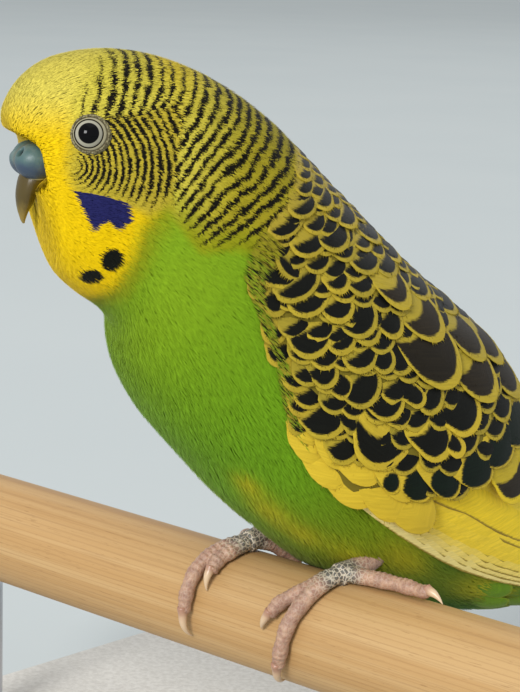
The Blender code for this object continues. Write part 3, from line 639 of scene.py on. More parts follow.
def bare(station, angle):
    """Where nothing grows: the eyes, the bill, and what a wing hides."""
    point = straight_body(station, folded(angle))
    eye = straight_body(np.array(EYE_STATION), np.array(EYE_ANGLE + EYE_BARE_LOW))
    low = np.interp(station, [w[0] for w in WING_HIDES], [w[1] for w in WING_HIDES])
    high = np.interp(station, [w[0] for w in WING_HIDES], [w[2] for w in WING_HIDES])
    side = folded(angle)
    under_wing = (station > WING_HIDES[0][0]) & (station < WING_HIDES[-1][0]) & (side > low) & (side < high)
    return (np.linalg.norm(point - eye, axis=-1) < EYE_BARE) | on_bill(station, angle) | under_wing


def roots(rng, first, last, density):
    """Places spread evenly over the surface between two stations."""
    step_t, step_a = 0.04, 1.0
    station, angle = (grid.ravel() for grid in
                      np.meshgrid(np.arange(first, last, step_t), np.arange(0, 360, step_a), indexing="ij"))
    _, _, per_station, per_degree = place(station, angle)
    area = np.linalg.norm(np.cross(per_station, per_degree), axis=-1) * step_t * step_a
    total = np.cumsum(np.where(bare(station, angle), 0.0, area))
    count = int(total[-1] * density * (1.0))
    cell = np.searchsorted(total, (np.arange(count) + rng.random(count)) / count * total[-1])
    cell = np.minimum(cell, len(total) - 1)
    return station[cell] + rng.random(count) * step_t, angle[cell] + rng.random(count) * step_a


def blades(station, angle, step_t, step_a, way, heights, half, side=1):
    """The points of each blade, and how they catch the light. Heights are those of root, middle and tip."""
    points, normals = [], []
    rings = [place(station + step_t * share, angle + step_a * share)[:2] for share in (0, 0.5, 1)]
    for share, toward, rise in zip(BLADE_SHARES, BLADE_SIDES, BLADE_RISES):
        middle, normal = rings[int(2 * share)]
        aside = np.cross(normal, way)
        aside /= np.linalg.norm(aside, axis=-1)[:, None]
        height = heights[int(2 * share)] + rise * half * RIDGE
        points.append(middle + normal * height[:, None] + toward * aside * half[:, None])
        normals.append(normal + toward * TUFT_ROUND * aside)
    points, normals = np.stack(points, 1), np.stack(normals, 1)
    normals /= np.linalg.norm(normals, axis=-1, keepdims=True)
    if side < 0:
        return mirrored(points), mirrored(normals + GRIP) - GRIP
    return points, normals


def blade_faces(count):
    """The triangles of a number of blades whose points follow one another."""
    return (np.arange(count)[:, None, None] * len(BLADE_SHARES) + BLADE_FACES).reshape(-1, 3)


def lay_tufts(name, seed, first, last, density, length, width, spread, fluff=0.2):
    rng = np.random.default_rng(seed)
    station, angle = roots(rng, first, last, density)
    count = len(station)
    _, _, per_station, per_degree = place(station, angle)
    along = per_station / np.linalg.norm(per_station, axis=-1, keepdims=True)
    across = per_degree - along * (per_degree * along).sum(-1, keepdims=True)
    across /= np.linalg.norm(across, axis=-1, keepdims=True)
    lean = np.radians(rng.normal(0, spread, count))[:, None]
    reach = length * rng.uniform(0.75, 1.25, count)[:, None]
    way = (along * np.cos(lean) + across * np.sin(lean)) * reach
    step_t, step_a = steps_for(way, per_station, per_degree)
    depth = curve(station, COAT_DEPTH)
    lift = rng.uniform(-fluff, fluff, count)
    half = width / 2 * rng.uniform(0.75, 1.25, count)
    heights = [-depth * sink + (lift - 0.1) * share
               - notch(station + step_t * share, angle + step_a * share)
               for share, sink in ((0.0, 1.0), (0.5, 0.35), (1.0, 0.0))]
    points, normals = blades(station, angle, step_t, step_a, way, heights, half)
    shown = station + step_t * SHOWS, angle + step_a * SHOWS
    ground, dark, _ = markings(*shown, rng.normal(0, 0.02, count))
    _, _, ear = markings(*shown, rng.normal(0, 0.06, count))
    at = station[:, None] + step_t[:, None] * BLADE_SHARES
    round_at = angle[:, None] + step_a[:, None] * BLADE_SHARES
    phase = bar_phase(at, round_at, ear[:, None]) + rng.normal(0, 0.10, count)[:, None]
    tuft = 0.7 * rng.random(count)[:, None] + 0.3 * BLADE_SHARES
    bars = np.stack(np.broadcast_arrays(phase, dark[:, None], tuft), -1)
    bake = np.stack([np.mod(angle[:, None], 360) / 360 + BLADE_SIDES * PATCH / 2,
                     station[:, None] / LAST_STATION + (BLADE_SHARES - 0.5) * PATCH], -1)
    return make_piece(name, clear_of_perch(points.reshape(-1, 3)), blade_faces(count), COAT, (),
                      {"ground": np.repeat(ground, len(BLADE_SHARES), 0)}, {"bars": bars.reshape(-1, 3)},
                      bake.reshape(-1, 2), normals=normals.reshape(-1, 3))


lay_tufts("tufts_face", 11, 0.75, 2.9, 21.0, 1.7, 0.17, 9, 0.05)
lay_tufts("tufts_cheeks", 12, 2.7, 4.2, 21.0, 1.9, 0.18, 9, 0.06)
lay_tufts("tufts_crown", 13, 4.0, 5.3, 19.0, 2.1, 0.18, 8, 0.07)
lay_tufts("tufts_ears", 14, 5.1, 6.5, 17.0, 2.3, 0.19, 8, 0.12)
lay_tufts("tufts_nape", 15, 6.3, 7.9, 15.0, 2.6, 0.20, 8, 0.15)
lay_tufts("tufts_neck", 16, 7.6, 9.6, 12.5, 3.0, 0.22, 8, 0.16)
lay_tufts("tufts_breast", 17, 9.3, 12.4, 10.0, 3.4, 0.25, 8, 0.18)
lay_tufts("tufts_belly", 18, 12.1, 15.2, 8.5, 4.0, 0.28, 10, 0.25)
lay_tufts("tufts_vent", 19, 14.9, 17.8, 5.5, 4.2, 0.32, 10, 0.25)

# %% [markdown]
# ## Wing and tail feathers
# A large feather is a vane: a flat blade with a rounded tip whose edge frays into barbs. Drawing its pattern on an
# image would do, but here each point carries how far it lies inside the pale rim and in front of the pale
# base, so the shader can cut the black half moon between them sharply and let a noise along the barbs roughen
# it. One vane is a thin closed grid with a fringe of small blades round its outline. The grid is laid by a
# function that turns a share of the length and a distance across into a place, so that the same vane can
# follow the body on a wing or run straight in the tail.

# %% Vane
VANE_ROWS = 17
VANE_ACROSS = np.array([-1, -0.97, -0.8, -0.55, -0.28, 0, 0.28, 0.55, 0.8, 0.97, 1])   # shares of the half width
VANE_THICKNESS = 0.1         # mm
FRINGE = 84                  # barbs round one vane
FRINGE_ANGLE = 38.0          # degrees out from the shaft
BARB_SLOPE = 1.1             # how much further back a barb leaves the shaft for each mm out
CELL_ROOM = 0.06             # empty edge of each vane's cell on the bake map


def vane_outline(from_tip, length, half, point):
    """Half width at a distance from the tip: round at the tip, narrow at the root."""
    round_tip = min(half * point, length * 0.5)
    inward = np.clip(1 - from_tip / round_tip, 0, 1)
    return half * np.sqrt(1 - inward**2 * 0.995) * (0.5 + 0.5 * ease(1 - from_tip / length, -0.05, 0.4))


def vane_marks(from_tip, across, length, half, margin, depth, bow, point, barb_start):
    """How far a point lies inside the rim, how far in front of the base, and which barb it is on."""
    round_tip = min(half * point, length * 0.5)
    inward = np.clip(1 - from_tip / round_tip, 0, 1)
    edge = half * (1 - np.hypot(across / half, inward))
    rim = margin * (0.3 + 0.7 * np.exp(-(from_tip / (margin + 0.6 * half)) ** 2))
    base = margin + depth + bow * across**2 / half - from_tip
    return np.stack([edge - rim, base, from_tip - BARB_SLOPE * np.abs(across) + barb_start], -1)


def vane(lay, length, half, marks, rng, fringe=1.0, rows=VANE_ROWS):
    """Points, triangles, marks and bake places of one feather."""
    point = marks[3]
    share = 1 - np.linspace(1, 0, rows) ** 1.7
    from_tip = (1 - share) * length
    across = vane_outline(from_tip, length, half, point)[:, None] * VANE_ACROSS
    across[2:, [0, -1]] *= rng.uniform(0.99, 1.04, (rows - 2, 2))
    share = np.repeat(share[:, None], len(VANE_ACROSS), 1)
    upper, lower = lay(share, across, VANE_THICKNESS), lay(share, across, 0.0)
    index = np.arange(share.size).reshape(share.shape)
    quads = np.stack([index[:-1, :-1], index[:-1, 1:], index[1:, 1:], index[1:, :-1]], -1).reshape(-1, 4)
    rim = np.r_[index[0], index[1:, -1], index[-1, -2::-1], index[-2:0:-1, 0]]
    after, under = np.roll(rim, -1), index.size
    walls = np.stack([rim, rim + under, after + under, after], -1)
    quads = np.r_[quads, quads[:, ::-1] + under, walls]
    faces = np.r_[quads[:, [0, 1, 2]], quads[:, [0, 2, 3]]]
    points = np.r_[upper.reshape(-1, 3), lower.reshape(-1, 3)]
    share, across = (np.tile(grid.ravel(), 2) for grid in (share, across))

    count = int(FRINGE * fringe)
    sign = np.where(rng.random(count) < 0.5, -1.0, 1.0)
    start = rng.random(count) ** 1.6 * 0.62 * length
    out = sign * vane_outline(start, length, half, point) * rng.uniform(0.55, 1.0, count)
    angle = np.radians(FRINGE_ANGLE + rng.normal(0, 6, count)) * out / half
    reach = rng.uniform(0.6, 1.3, count) * min(half / 2.4, 1.0)
    wide = np.outer(rng.uniform(0.04, 0.08, count), -BLADE_SIDES)
    ahead = (-start - 0.5 * np.cos(angle))[:, None] + np.outer(reach * np.cos(angle), BLADE_SHARES) \
        - np.sin(angle)[:, None] * wide
    aside = (out - 0.5 * np.sin(angle))[:, None] + np.outer(reach * np.sin(angle), BLADE_SHARES) \
        + np.cos(angle)[:, None] * wide
    barbs = lay(1 + ahead / length, aside, VANE_THICKNESS * 0.6 + 0.07 * BLADE_RISES)
    faces = np.r_[faces, len(points) + blade_faces(count)]
    points = np.r_[points, barbs.reshape(-1, 3)]
    held = ahead[:, :1] + 0.35 * (ahead - ahead[:, :1]), aside[:, :1] + 0.35 * (aside - aside[:, :1])
    share, across = np.r_[share, (1 + held[0] / length).ravel()], np.r_[across, held[1].ravel()]
    marked = vane_marks((1 - share) * length, across, length, half, *marks, rng.random() * 90)
    cell = np.stack([0.5 + across / half / 2.4, np.clip(share, 0, 1.15) / 1.15], -1)
    return points, faces, marked, np.clip(cell, 0, 1)


def vane_piece(name, vanes, colours, finish, replaced=(), flip=False):
    """Join vanes to one piece. Each has its own cell on the bake map."""
    cells = math.ceil(math.sqrt(len(vanes)))
    points, faces, marked, bake, counted = [], [], [], [], 0
    painted = {key: [] for key in ("ground", "rim", "dark")}
    for i, ((corners, triangles, marks, cell), shades) in enumerate(zip(vanes, colours)):
        points.append(corners)
        faces.append(triangles + counted)
        marked.append(marks)
        corner = np.array([i % cells, i // cells])
        bake.append((corner + CELL_ROOM + cell * (1 - 2 * CELL_ROOM)) / cells)
        for key, shade in zip(painted, shades):
            painted[key].append(np.tile(shade, (len(corners), 1)))
        counted += len(corners)
    faces = np.concatenate(faces)
    return make_piece(name, clear_of_perch(np.concatenate(points)), faces[:, ::-1] if flip else faces, finish,
                      replaced, {key: np.concatenate(value) for key, value in painted.items()},
                      {"vane": np.concatenate(marked)}, np.concatenate(bake))


def vane_finish(name, roughness=0.5):
    finish = Finish(name, roughness, Sheen_Weight=0.02, Specular_IOR_Level=0.12)
    ground, rim, dark = (finish.attribute(key).outputs["Color"] for key in ("ground", "rim", "dark"))
    rim_depth, base_depth, barb = finish.node(
        "SeparateXYZ", {"Vector": finish.attribute("vane").outputs["Vector"]}).outputs
    along_barb = finish.node("CombineXYZ", {"X": barb, "Y": finish.math("MULTIPLY", rim_depth, 0.22)}).outputs[0]
    fine = finish.noise(along_barb, 5.5, 2.0, 0.6)
    coarse = finish.noise(along_barb, 1.6, 1.0)
    fray = finish.math("ADD", finish.math("MULTIPLY_ADD", fine, 1.3, -0.65),
                       finish.math("MULTIPLY_ADD", coarse, 0.8, -0.4))
    past_rim = finish.step(finish.math("ADD", rim_depth, finish.math("MULTIPLY", fray, 0.55)), -0.15, 0.15)
    before_base = finish.step(finish.math("ADD", base_depth, fray), -0.35, 0.35)
    moon = finish.math("MULTIPLY", past_rim, before_base)
    streak = finish.math("MULTIPLY_ADD", fine, 0.35, finish.math("MULTIPLY_ADD", coarse, 0.4, 0.62))
    light = finish.node("CombineXYZ", {"X": streak, "Y": streak, "Z": streak}).outputs[0]
    pale = finish.mix(1.0, finish.mix(past_rim, rim, ground), light, "MULTIPLY")
    finish.bump(fine, 0.35, 0.12)
    dark = finish.mix(1.0, dark, finish.mix(0.5, light, finish.node(
        "CombineXYZ", {"X": coarse, "Y": coarse, "Z": coarse}).outputs[0]), "MULTIPLY")
    return finish.paint(finish.mix(moon, pale, dark))


VANE = vane_finish("vane")

# %% [markdown]
# ## Wings
# On a folded wing the small coverts of the shoulder lie first, then the median coverts, then the greater coverts
# with their dark tips, and below them the flight feathers show as a stack of edges. The long scapulars over the
# shoulder blade lie on top. The black half moon of each feather shows best, so the table gives every larger
# feather by its tip, the width and depth of its moon, and how far it leans from the body's run. Both wings
# use it. A bed of darkened olive lies under the feathers and closes the gaps; its darkness is painted shade.

# %% Wing layout
WING_FRONT = [(0, 8.5), (60, 8.35), (90, 8.3), (96, 8.5), (100, 8.9), (104, 9.3), (107, 9.7), (112, 10.1),
              (117, 10.5), (121, 10.9), (126, 11.3), (130, 11.8)]          # angle, station
HEIGHT_ALONG = [(8.3, 0.5), (9.3, 1.1), (10.35, 1.9), (11.4, 2.7), (12.4, 3.5), (13.7, 4.2), (16.0, 3.8)]
HEIGHT_ROUND = [(0, 0.75), (30, 0.9), (60, 1.0), (85, 0.95), (105, 0.75), (128, 0.6)]   # angle, share
ROOT_SUNK = 1.0              # mm, how far a root lies under the feathers before it
TIP_DROOP = 0.3              # mm that a tip bends down
OLIVE, FEATHER_YELLOW = colour(146, 130, 40), colour(206, 176, 48)
FEATHER_BLACK, GREEN_BLACK, SCAPULAR_BROWN = colour(14, 15, 9), colour(10, 24, 14), colour(44, 35, 21)
# The thin dark line along each flight feather's edge is painted shadow of that edge, so the stacked edges show.
FLIGHT_YELLOW, FLIGHT_EDGE, FLIGHT_EDGE_SHADOW = colour(236, 204, 40), colour(243, 224, 140), colour(160, 135, 42)

# each feather: station and angle of its tip, half width and depth of its moon in mm, lean in degrees
LESSER_COVERTS = [
    (8.72, 98, 1.4, 1.0, 47), (8.77, 92, 3.3, 1.5, 57), (8.92, 86, 2.8, 1.2, 80), (9.18, 97, 1.7, 1.3, 33),
    (9.39, 86, 3.4, 1.7, 21), (9.49, 104, 1.6, 1.3, 37), (9.62, 88, 2.9, 1.4, 35), (9.85, 108, 1.7, 1.7, 31),
    (10.15, 96, 3.1, 2.6, 15), (10.16, 81, 2.4, 2.0, 16), (10.41, 108, 2.1, 1.7, 24), (10.55, 89, 2.0, 1.4, 21),
    (10.65, 76, 2.7, 2.3, 2), (10.65, 98, 1.6, 2.3, 3), (10.75, 112, 1.9, 1.7, 24), (10.76, 80, 2.1, 1.3, 20),
    (10.97, 96, 1.3, 2.7, -1), (10.98, 87, 2.5, 1.8, 19), (11.04, 119, 1.7, 1.5, 32), (11.14, 69, 1.8, 2.5, 7),
    (11.27, 81, 1.5, 2.6, 1), (11.31, 109, 2.9, 3.4, 6), (11.41, 94, 2.7, 2.9, 7), (11.54, 104, 0.9, 2.4, 1),
    (11.64, 76, 2.0, 3.2, -6), (11.86, 112, 2.0, 2.5, 12), (11.89, 89, 2.7, 3.2, 0), (12.19, 82, 1.1, 4.0, -12),
    (12.43, 80, 2.1, 2.6, 7),
]
MANTLE = [
    (8.65, 73, 2.8, 1.0, 26), (8.80, 60, 2.8, 1.0, 26), (9.14, 72, 3.2, 1.3, 30), (9.20, 46, 2.8, 1.2, 20),
    (9.58, 60, 3.2, 1.9, 25), (9.89, 74, 1.9, 1.4, 13), (10.23, 57, 3.2, 1.6, 25), (10.30, 67, 2.7, 1.4, 27),
    (9.75, 42, 3.0, 1.5, 16), (10.34, 37, 3.2, 1.8, 16), (10.70, 48, 3.0, 1.8, 20), (10.98, 32, 3.2, 2.2, 12),
    (11.63, 40, 3.2, 2.6, 15), (12.38, 31, 3.2, 3.5, 10),
]
SCAPULARS = [
    (11.07, 58, 3.4, 2.7, 18), (11.92, 54, 3.9, 4.4, 14), (12.51, 67, 5.0, 9.0, 9), (12.96, 49, 3.2, 6.5, 18),
    (13.34, 61, 3.9, 6.7, 12), (13.44, 42, 3.0, 6.0, 14), (13.96, 46, 3.2, 5.5, 10),
]
MEDIAN_COVERTS = [(12.46, 104, 5.3, 4.1, 34), (13.07, 89, 2.7, 5.3, 4), (13.26, 74, 3.1, 6.8, -2),
                  (13.28, 86, 1.1, 3.0, 4)]
PLAIN_FROM = [(8, 125), (10.9, 118), (11.4, 112), (12.4, 112), (13.2, 104), (14, 96)]   # station, angle
GREATER_COVERTS = [(12.80, 110, 1.3, 3.6, 10), (13.36, 103, 2.2, 6.6, 5), (13.65, 95, 2.3, 6.7, 3),
                   (14.01, 85, 3.2, 7.0, 3), (14.20, 72, 4.2, 7.0, 4), (14.45, 60, 4.0, 7.0, 4)]
PLAIN_COVERTS = [(11.25, 118, 2.4, 0, 16), (11.6, 121, 2.6, 0, 14), (11.9, 116, 2.8, 0, 12),
                 (12.15, 122, 2.8, 0, 12), (12.5, 113, 3.0, 0, 8), (12.75, 120.5, 3.0, 0, 10),
                 (13.2, 107, 3.2, 0, 6), (13.3, 116, 3.2, 0, 9), (13.8, 111, 3.2, 0, 7)]
WING_ROWS = {   # margin, feather length past its moon, bow of the moon, length of the tip's curve, barbs, height
    "lesser": (0.9, 3.2, 0.1, 1.05, 1.4, 0.0), "mantle": (0.9, 3.2, 0.1, 1.05, 1.3, 0.0),
    "under": (0.75, 2.8, 0.1, 1.05, 0.35, -0.25), "scapular": (1.0, 7.5, 0.6, 1.7, 1.4, 0.5),
    "median": (1.2, 6.0, 0.9, 1.1, 1.4, 0.1), "greater": (0.3, 7.0, -0.8, 1.9, 1.0, 0.0),
    "plain": (0.3, 14.0, 0.0, 3.4, 0.8, -0.3),
}
TABLES = {"lesser": LESSER_COVERTS, "mantle": MANTLE, "scapular": SCAPULARS, "median": MEDIAN_COVERTS,
          "greater": GREATER_COVERTS, "plain": PLAIN_COVERTS}
WIDER, DEEPER = 1.16, 1.4   # the small moons as they lie, against what shows of them in the table
UNDER_STATIONS, UNDER_STEP = np.arange(8.4, 13.9, 0.34), 8.6


def wing_height(station, angle):
    inside_edge = ease(station, curve(angle, WING_FRONT) - 0.2, curve(angle, WING_FRONT) + 1.6)
    return 0.35 + (curve(station, HEIGHT_ALONG) * curve(angle, HEIGHT_ROUND) - 0.35) * inside_edge


def on_wing(root, tip, half, heights, tilt, side, cup=0.14):
    """A function that lays a vane over the body from a root to a tip, both (station, angle)."""
    def lay(share, across, lift):
        station, angle = (root[i] + (tip[i] - root[i]) * share for i in (0, 1))
        _, _, per_station, per_degree = place(station, angle)
        ahead = per_station * (tip[0] - root[0]) + per_degree * (tip[1] - root[1])
        beside = np.cross(np.cross(per_station, per_degree), ahead)
        beside /= np.linalg.norm(beside, axis=-1, keepdims=True)
        step_t, step_a = steps_for(beside, per_station, per_degree)
        height = heights[0] + (heights[1] - heights[0]) * share - TIP_DROOP * ease(share, 0.75, 1.05)
        height = height + (tilt * across - cup * across**2 / half) / half + lift
        return over(station + step_t * across, side * (angle + step_a * across), height)
    return lay


def root_of(tip, length, lean):
    """Root of a feather that ends at a tip and leans from the body's run towards the belly."""
    _, _, per_station, per_degree = place(*(np.array(v, float) for v in tip))
    along = per_station / np.linalg.norm(per_station)
    out = per_degree - along * per_degree.dot(along)
    way = (along * math.cos(math.radians(lean)) + out / np.linalg.norm(out) * math.sin(math.radians(lean)))
    step_t, step_a = steps_for(way * length, per_station, per_degree)
    return tip[0] - step_t, tip[1] - step_a


print("wing", sum(len(table) for table in TABLES.values()), "feathers from the tables on each side")

# %% [markdown]
# The bed is one closed sheet just under the feathers. Where it shows between them it stands for the olive ground
# of more feathers, darkened to about half as painted shade in the gaps. Along the wing's front edge the breast's
# loose barbs lie over it, some green and some dark, which is why a real wing never starts with a clean line.

# %% Wing bed and edge
BED_DEPTH, BED_THICKNESS = 0.6, 0.3   # mm
BED_END = [(0, 14.0), (60, 14.0), (85, 13.4), (105, 12.8), (118, 12.4), (122, 12.3)]   # angle, station
EDGE_TUFTS, EDGE_LENGTH, EDGE_DARK = 1500, 1.7, 0.25


def make_bed(side_name, side):
    angles = np.arange(0 if side > 0 else 1, 123.0, 1.5)
    rows = []
    for share in np.linspace(0, 1, 60):
        front = curve(angles, WING_FRONT) + 0.25
        rows.append(front + (curve(angles, BED_END) - front) * share)
    station, angle = np.array(rows), np.tile(angles, (60, 1))
    height = wing_height(station, angle) - BED_DEPTH
    height = np.where((station - curve(angle, WING_FRONT)) < 0.4, height - 0.5, height)
    sheets = [over(station, side * angle, height - drop).reshape(-1, 3) for drop in (0, BED_THICKNESS)]
    index = np.arange(station.size).reshape(station.shape)
    quads = np.stack([index[:-1, :-1], index[1:, :-1], index[1:, 1:], index[:-1, 1:]], -1).reshape(-1, 4)
    rim = np.r_[index[0], index[1:, -1], index[-1, -2::-1], index[-2:0:-1, 0]]
    after = np.roll(rim, -1)
    walls = np.stack([rim, after, after + index.size, rim + index.size], -1)
    faces = np.r_[quads[:, ::-1], quads + index.size, walls[:, ::-1]]
    # The feathers' olive, darkened to about half as painted shade in the gaps between them.
    shade = OLIVE * 0.55
    count = 2 * index.size
    bars = np.tile([0.0, 0.0, 0.5], (count, 1))
    bake = np.tile(np.stack([np.mod(side * angle, 360) / 360, station / LAST_STATION], -1).reshape(-1, 2), (2, 1))
    make_piece("wing_bed_" + side_name, np.concatenate(sheets), faces if side > 0 else faces[:, ::-1], COAT,
               (), {"ground": np.tile(shade, (count, 1))}, {"bars": bars}, bake)


def make_edge(side_name, side, seed):
    """Loose barbs of the breast that lie over the wing's front edge."""
    rng = np.random.default_rng(seed)
    angle = rng.uniform(78, 122, EDGE_TUFTS)
    station = curve(angle, WING_FRONT) + rng.uniform(-0.25, 0.15, EDGE_TUFTS)
    _, _, per_station, per_degree = place(station, angle)
    way = per_station / np.linalg.norm(per_station, axis=-1, keepdims=True)
    way = way * (EDGE_LENGTH * rng.uniform(0.6, 1.2, EDGE_TUFTS))[:, None]
    step_t, step_a = steps_for(way, per_station, per_degree)
    lift = rng.uniform(0.0, 0.25, EDGE_TUFTS)
    heights = [lift - 0.2, lift + 0.2, wing_height(station + step_t, angle + step_a) + lift - 0.1]
    points, normals = blades(station, angle, step_t, step_a, way, heights,
                             rng.uniform(0.035, 0.07, EDGE_TUFTS), side)
    ground, _, _ = markings(station, angle)
    gold = blend(ground, OLIVE, rng.uniform(0.1, 0.9, EDGE_TUFTS))
    ground = np.where((rng.random(EDGE_TUFTS) < EDGE_DARK)[:, None], FEATHER_BLACK, gold)
    bars = np.stack([0 * angle, 0 * angle, rng.random(EDGE_TUFTS)], -1)
    at = np.stack([np.mod(side * angle, 360) / 360, station / LAST_STATION], -1)[:, None]
    bake = at + np.stack([BLADE_SIDES / 2, BLADE_SHARES - 0.5], -1) * PATCH
    faces, corners = blade_faces(EDGE_TUFTS), len(BLADE_SHARES)
    make_piece("wing_edge_" + side_name, points.reshape(-1, 3), faces if side > 0 else faces[:, ::-1], COAT,
               (), {"ground": np.repeat(ground, corners, 0)},
               {"bars": np.repeat(bars, corners, 0)}, bake.reshape(-1, 2), normals=normals.reshape(-1, 3))


for side_name, side, seed in (("left", 1, 51), ("right", -1, 52)):
    make_bed(side_name, side)
    make_edge(side_name, side, seed)

# %% [markdown]
# The flight feathers fan from the wrist: pale-edged primaries along the lower edge, secondaries over them, and
# broad tertials with a dark middle over the rump. Their roots and tips step evenly, which is how they stack.

# %% Wing feathers
UNDER_ROWS = 9               # rows of points along a feather that others mostly hide
PRIMARIES, SECONDARIES = 9, 9
PRIMARY_ROOT, PRIMARY_ROOT_STEP = (11.4, 121.0), (0.06, -1.6)
PRIMARY_TIP, PRIMARY_STEP = (17.25, 101.0), (-0.13, -3.0)
SECONDARY_ROOT, SECONDARY_ROOT_STEP = (12.0, 104.0), (0.05, -6.0)
SECONDARY_TIP, SECONDARY_STEP = (15.9, 80.0), (-0.05, -6.2)
FLIGHT_HALF = 3.6
TERTIAL_TIPS = [(14.95, 76), (15.1, 64), (15.3, 52), (15.2, 40), (15.45, 28), (15.3, 16), (15.55, 5)]


def under_rows(side):
    """Rows of small feathers that fill in between those of the tables and over the spine."""
    rows = []
    for k, station in enumerate(UNDER_STATIONS):
        first = (0.5 if k % 2 else 0.0) * UNDER_STEP
        for angle in np.arange(first, min(curve(station, PLAIN_FROM), 108), UNDER_STEP):
            if station < curve(angle + 5, WING_FRONT) + 0.15 or (angle == 0 and side < 0):
                continue
            rows.append(("under", station, angle, 2.7, 1.5 + 0.35 * (station - 8.4), 18 if angle > 20 else 4))
    return rows


def small_feathers(rows, side, rng):
    made, shades = [], []
    for kind, station, angle, moon_half, depth, lean in sorted(rows, key=lambda row: row[1]):
        margin, more, bow, point, barbs, lift = WING_ROWS[kind]
        if kind in ("lesser", "mantle"):
            moon_half, depth = moon_half * WIDER, depth * DEEPER
        half = moon_half + 0.3 * margin
        length = depth + margin + min(more, 1.2 + 2.6 * (station - 8.5))
        tip = (station + rng.normal(0, 0.02), angle + rng.normal(0, 0.5))
        root = root_of(tip, length, lean + rng.normal(0, 3))
        top = wing_height(*tip) + lift + rng.normal(0, 0.05)
        heights = (max(wing_height(*root) - ROOT_SUNK, -0.4), top)
        lay = on_wing(root, tip, half, heights, 0.1, side)
        marks = (margin, depth * rng.uniform(0.9, 1.1), bow, point)
        made.append(vane(lay, length, half, marks, rng, barbs, UNDER_ROWS if kind == "under" else VANE_ROWS))
        # On the small coverts the olive of the ground above each moon is partly their own olive base and partly
        # painted shade under the feather that overlaps it.
        olive = rng.uniform(0.0, 0.3) + {"median": 0.2, "greater": 0.1, "plain": -0.1}.get(kind, 0.7)
        ground, rim = blend(FEATHER_YELLOW, OLIVE, max(olive, 0)), blend(FEATHER_YELLOW, OLIVE, max(0.8 * olive, 0))
        dark = {"scapular": blend(FEATHER_BLACK, SCAPULAR_BROWN, rng.uniform(0.3, 1.0)),
                "greater": GREEN_BLACK}.get(kind, FEATHER_BLACK)
        shades.append((ground, rim, dark))
    return made, shades


def flights(side, rng):
    """Flight feathers from the outermost primary up, then the tertials over them."""
    made, shades = [], []
    layers = [(PRIMARIES, PRIMARY_ROOT, PRIMARY_ROOT_STEP, PRIMARY_TIP, PRIMARY_STEP, 0.6),
              (SECONDARIES, SECONDARY_ROOT, SECONDARY_ROOT_STEP, SECONDARY_TIP, SECONDARY_STEP, 1.7)]
    for count, first_root, root_step, first_tip, tip_step, low in layers:
        for i in range(count):
            root, tip = ((first[0] + step[0] * i, first[1] + step[1] * i)
                         for first, step in ((first_root, root_step), (first_tip, tip_step)))
            ends = body(*(np.array(v) for v in zip(root, tip)))
            length = np.linalg.norm(ends[1] - ends[0])
            lay = on_wing(root, tip, FLIGHT_HALF, (low - 0.6 + 0.08 * i, low + 0.15 + 0.15 * i), -0.16, side, 0.2)
            made.append(vane(lay, length, FLIGHT_HALF, (0.9, 0.0, 0.0, 2.0), rng, 0.0))
            pale = rng.uniform(0.0, 0.15) + max(0.0, 1 - 0.25 * i) * (low < 1)
            # Each flight feather's rim is a painted shadow line along its edge.
            shades.append((blend(FLIGHT_YELLOW, FLIGHT_EDGE, pale), FLIGHT_EDGE_SHADOW, FEATHER_BLACK))
    for tip in TERTIAL_TIPS:
        root = root_of(tip, 17.0, 5)
        lay = on_wing(root, tip, 4.4, (wing_height(*root) - 0.9, wing_height(*tip) - 0.1), 0.1, side, 0.3)
        made.append(vane(lay, 17.0, 4.4, (1.3, 5.0, 0.9, 1.5), rng))
        shades.append((blend(FLIGHT_YELLOW, OLIVE, 0.6), blend(FLIGHT_YELLOW, OLIVE, 0.2), SCAPULAR_BROWN))
    return made, shades


def dress_wing(side_name, side, seed):
    rng = np.random.default_rng(seed)
    table = [(kind, *feather) for kind, feathers in TABLES.items() for feather in feathers]
    for part, (made, shades) in (("flights", flights(side, rng)),
                                 ("under", small_feathers(under_rows(side), side, rng)),
                                 ("coverts", small_feathers(table, side, rng))):
        print(part, side_name, len(made), "feathers")
        vane_piece(part + "_" + side_name, made, shades, VANE, ("wing_" + side_name,), side < 0)


dress_wing("left", 1, 31)
dress_wing("right", -1, 32)

# %% [markdown]
# ## Tail
# Twelve long feathers run straight back from the rump, the middle pair longest and on top. The photograph stops
# before them, so their length and colours come from the species: a dark blue-green pair over yellow feathers with
# dark edges. The same vane is laid along a straight line here.

# %% Tail
TAIL_SLOPE = 32.0            # degrees below level
TAIL_ROOT = (54.0, -1.0)     # back and up, mm
TAIL_LENGTHS = (83.0, 70.0, 59.0, 49.0, 40.0, 32.0)
TAIL_HALF, TAIL_SPREAD, TAIL_SPLAY = 3.4, 4.1, 0.9
CENTRAL_HALF, CENTRAL_SPREAD = 4.1, 2.3
TAIL_STEP = 0.8              # mm from one feather to the next below
TAIL_BLUE, TAIL_BLUE_EDGE = colour(22, 62, 84), colour(30, 86, 92)
TAIL_YELLOW, TAIL_DARK = colour(206, 190, 60), colour(24, 52, 58)


def straight_lay(length, half, spread, splay, drop):
    slope = math.radians(TAIL_SLOPE)
    run = np.array([0, math.cos(slope), -math.sin(slope)])
    rise = np.array([0, math.sin(slope), math.cos(slope)])

    def lay(share, across, lift):
        share, across, lift = np.broadcast_arrays(share, across, lift)
        middle = spread + math.sin(math.radians(splay)) * length * share
        height = lift - drop - 0.35 * (across / half) ** 2
        at = np.array([0, *TAIL_ROOT]) + run * (length * share)[..., None] + rise * height[..., None]
        return to_frame(at + np.array([1.0, 0, 0]) * (middle + across)[..., None])
    return lay


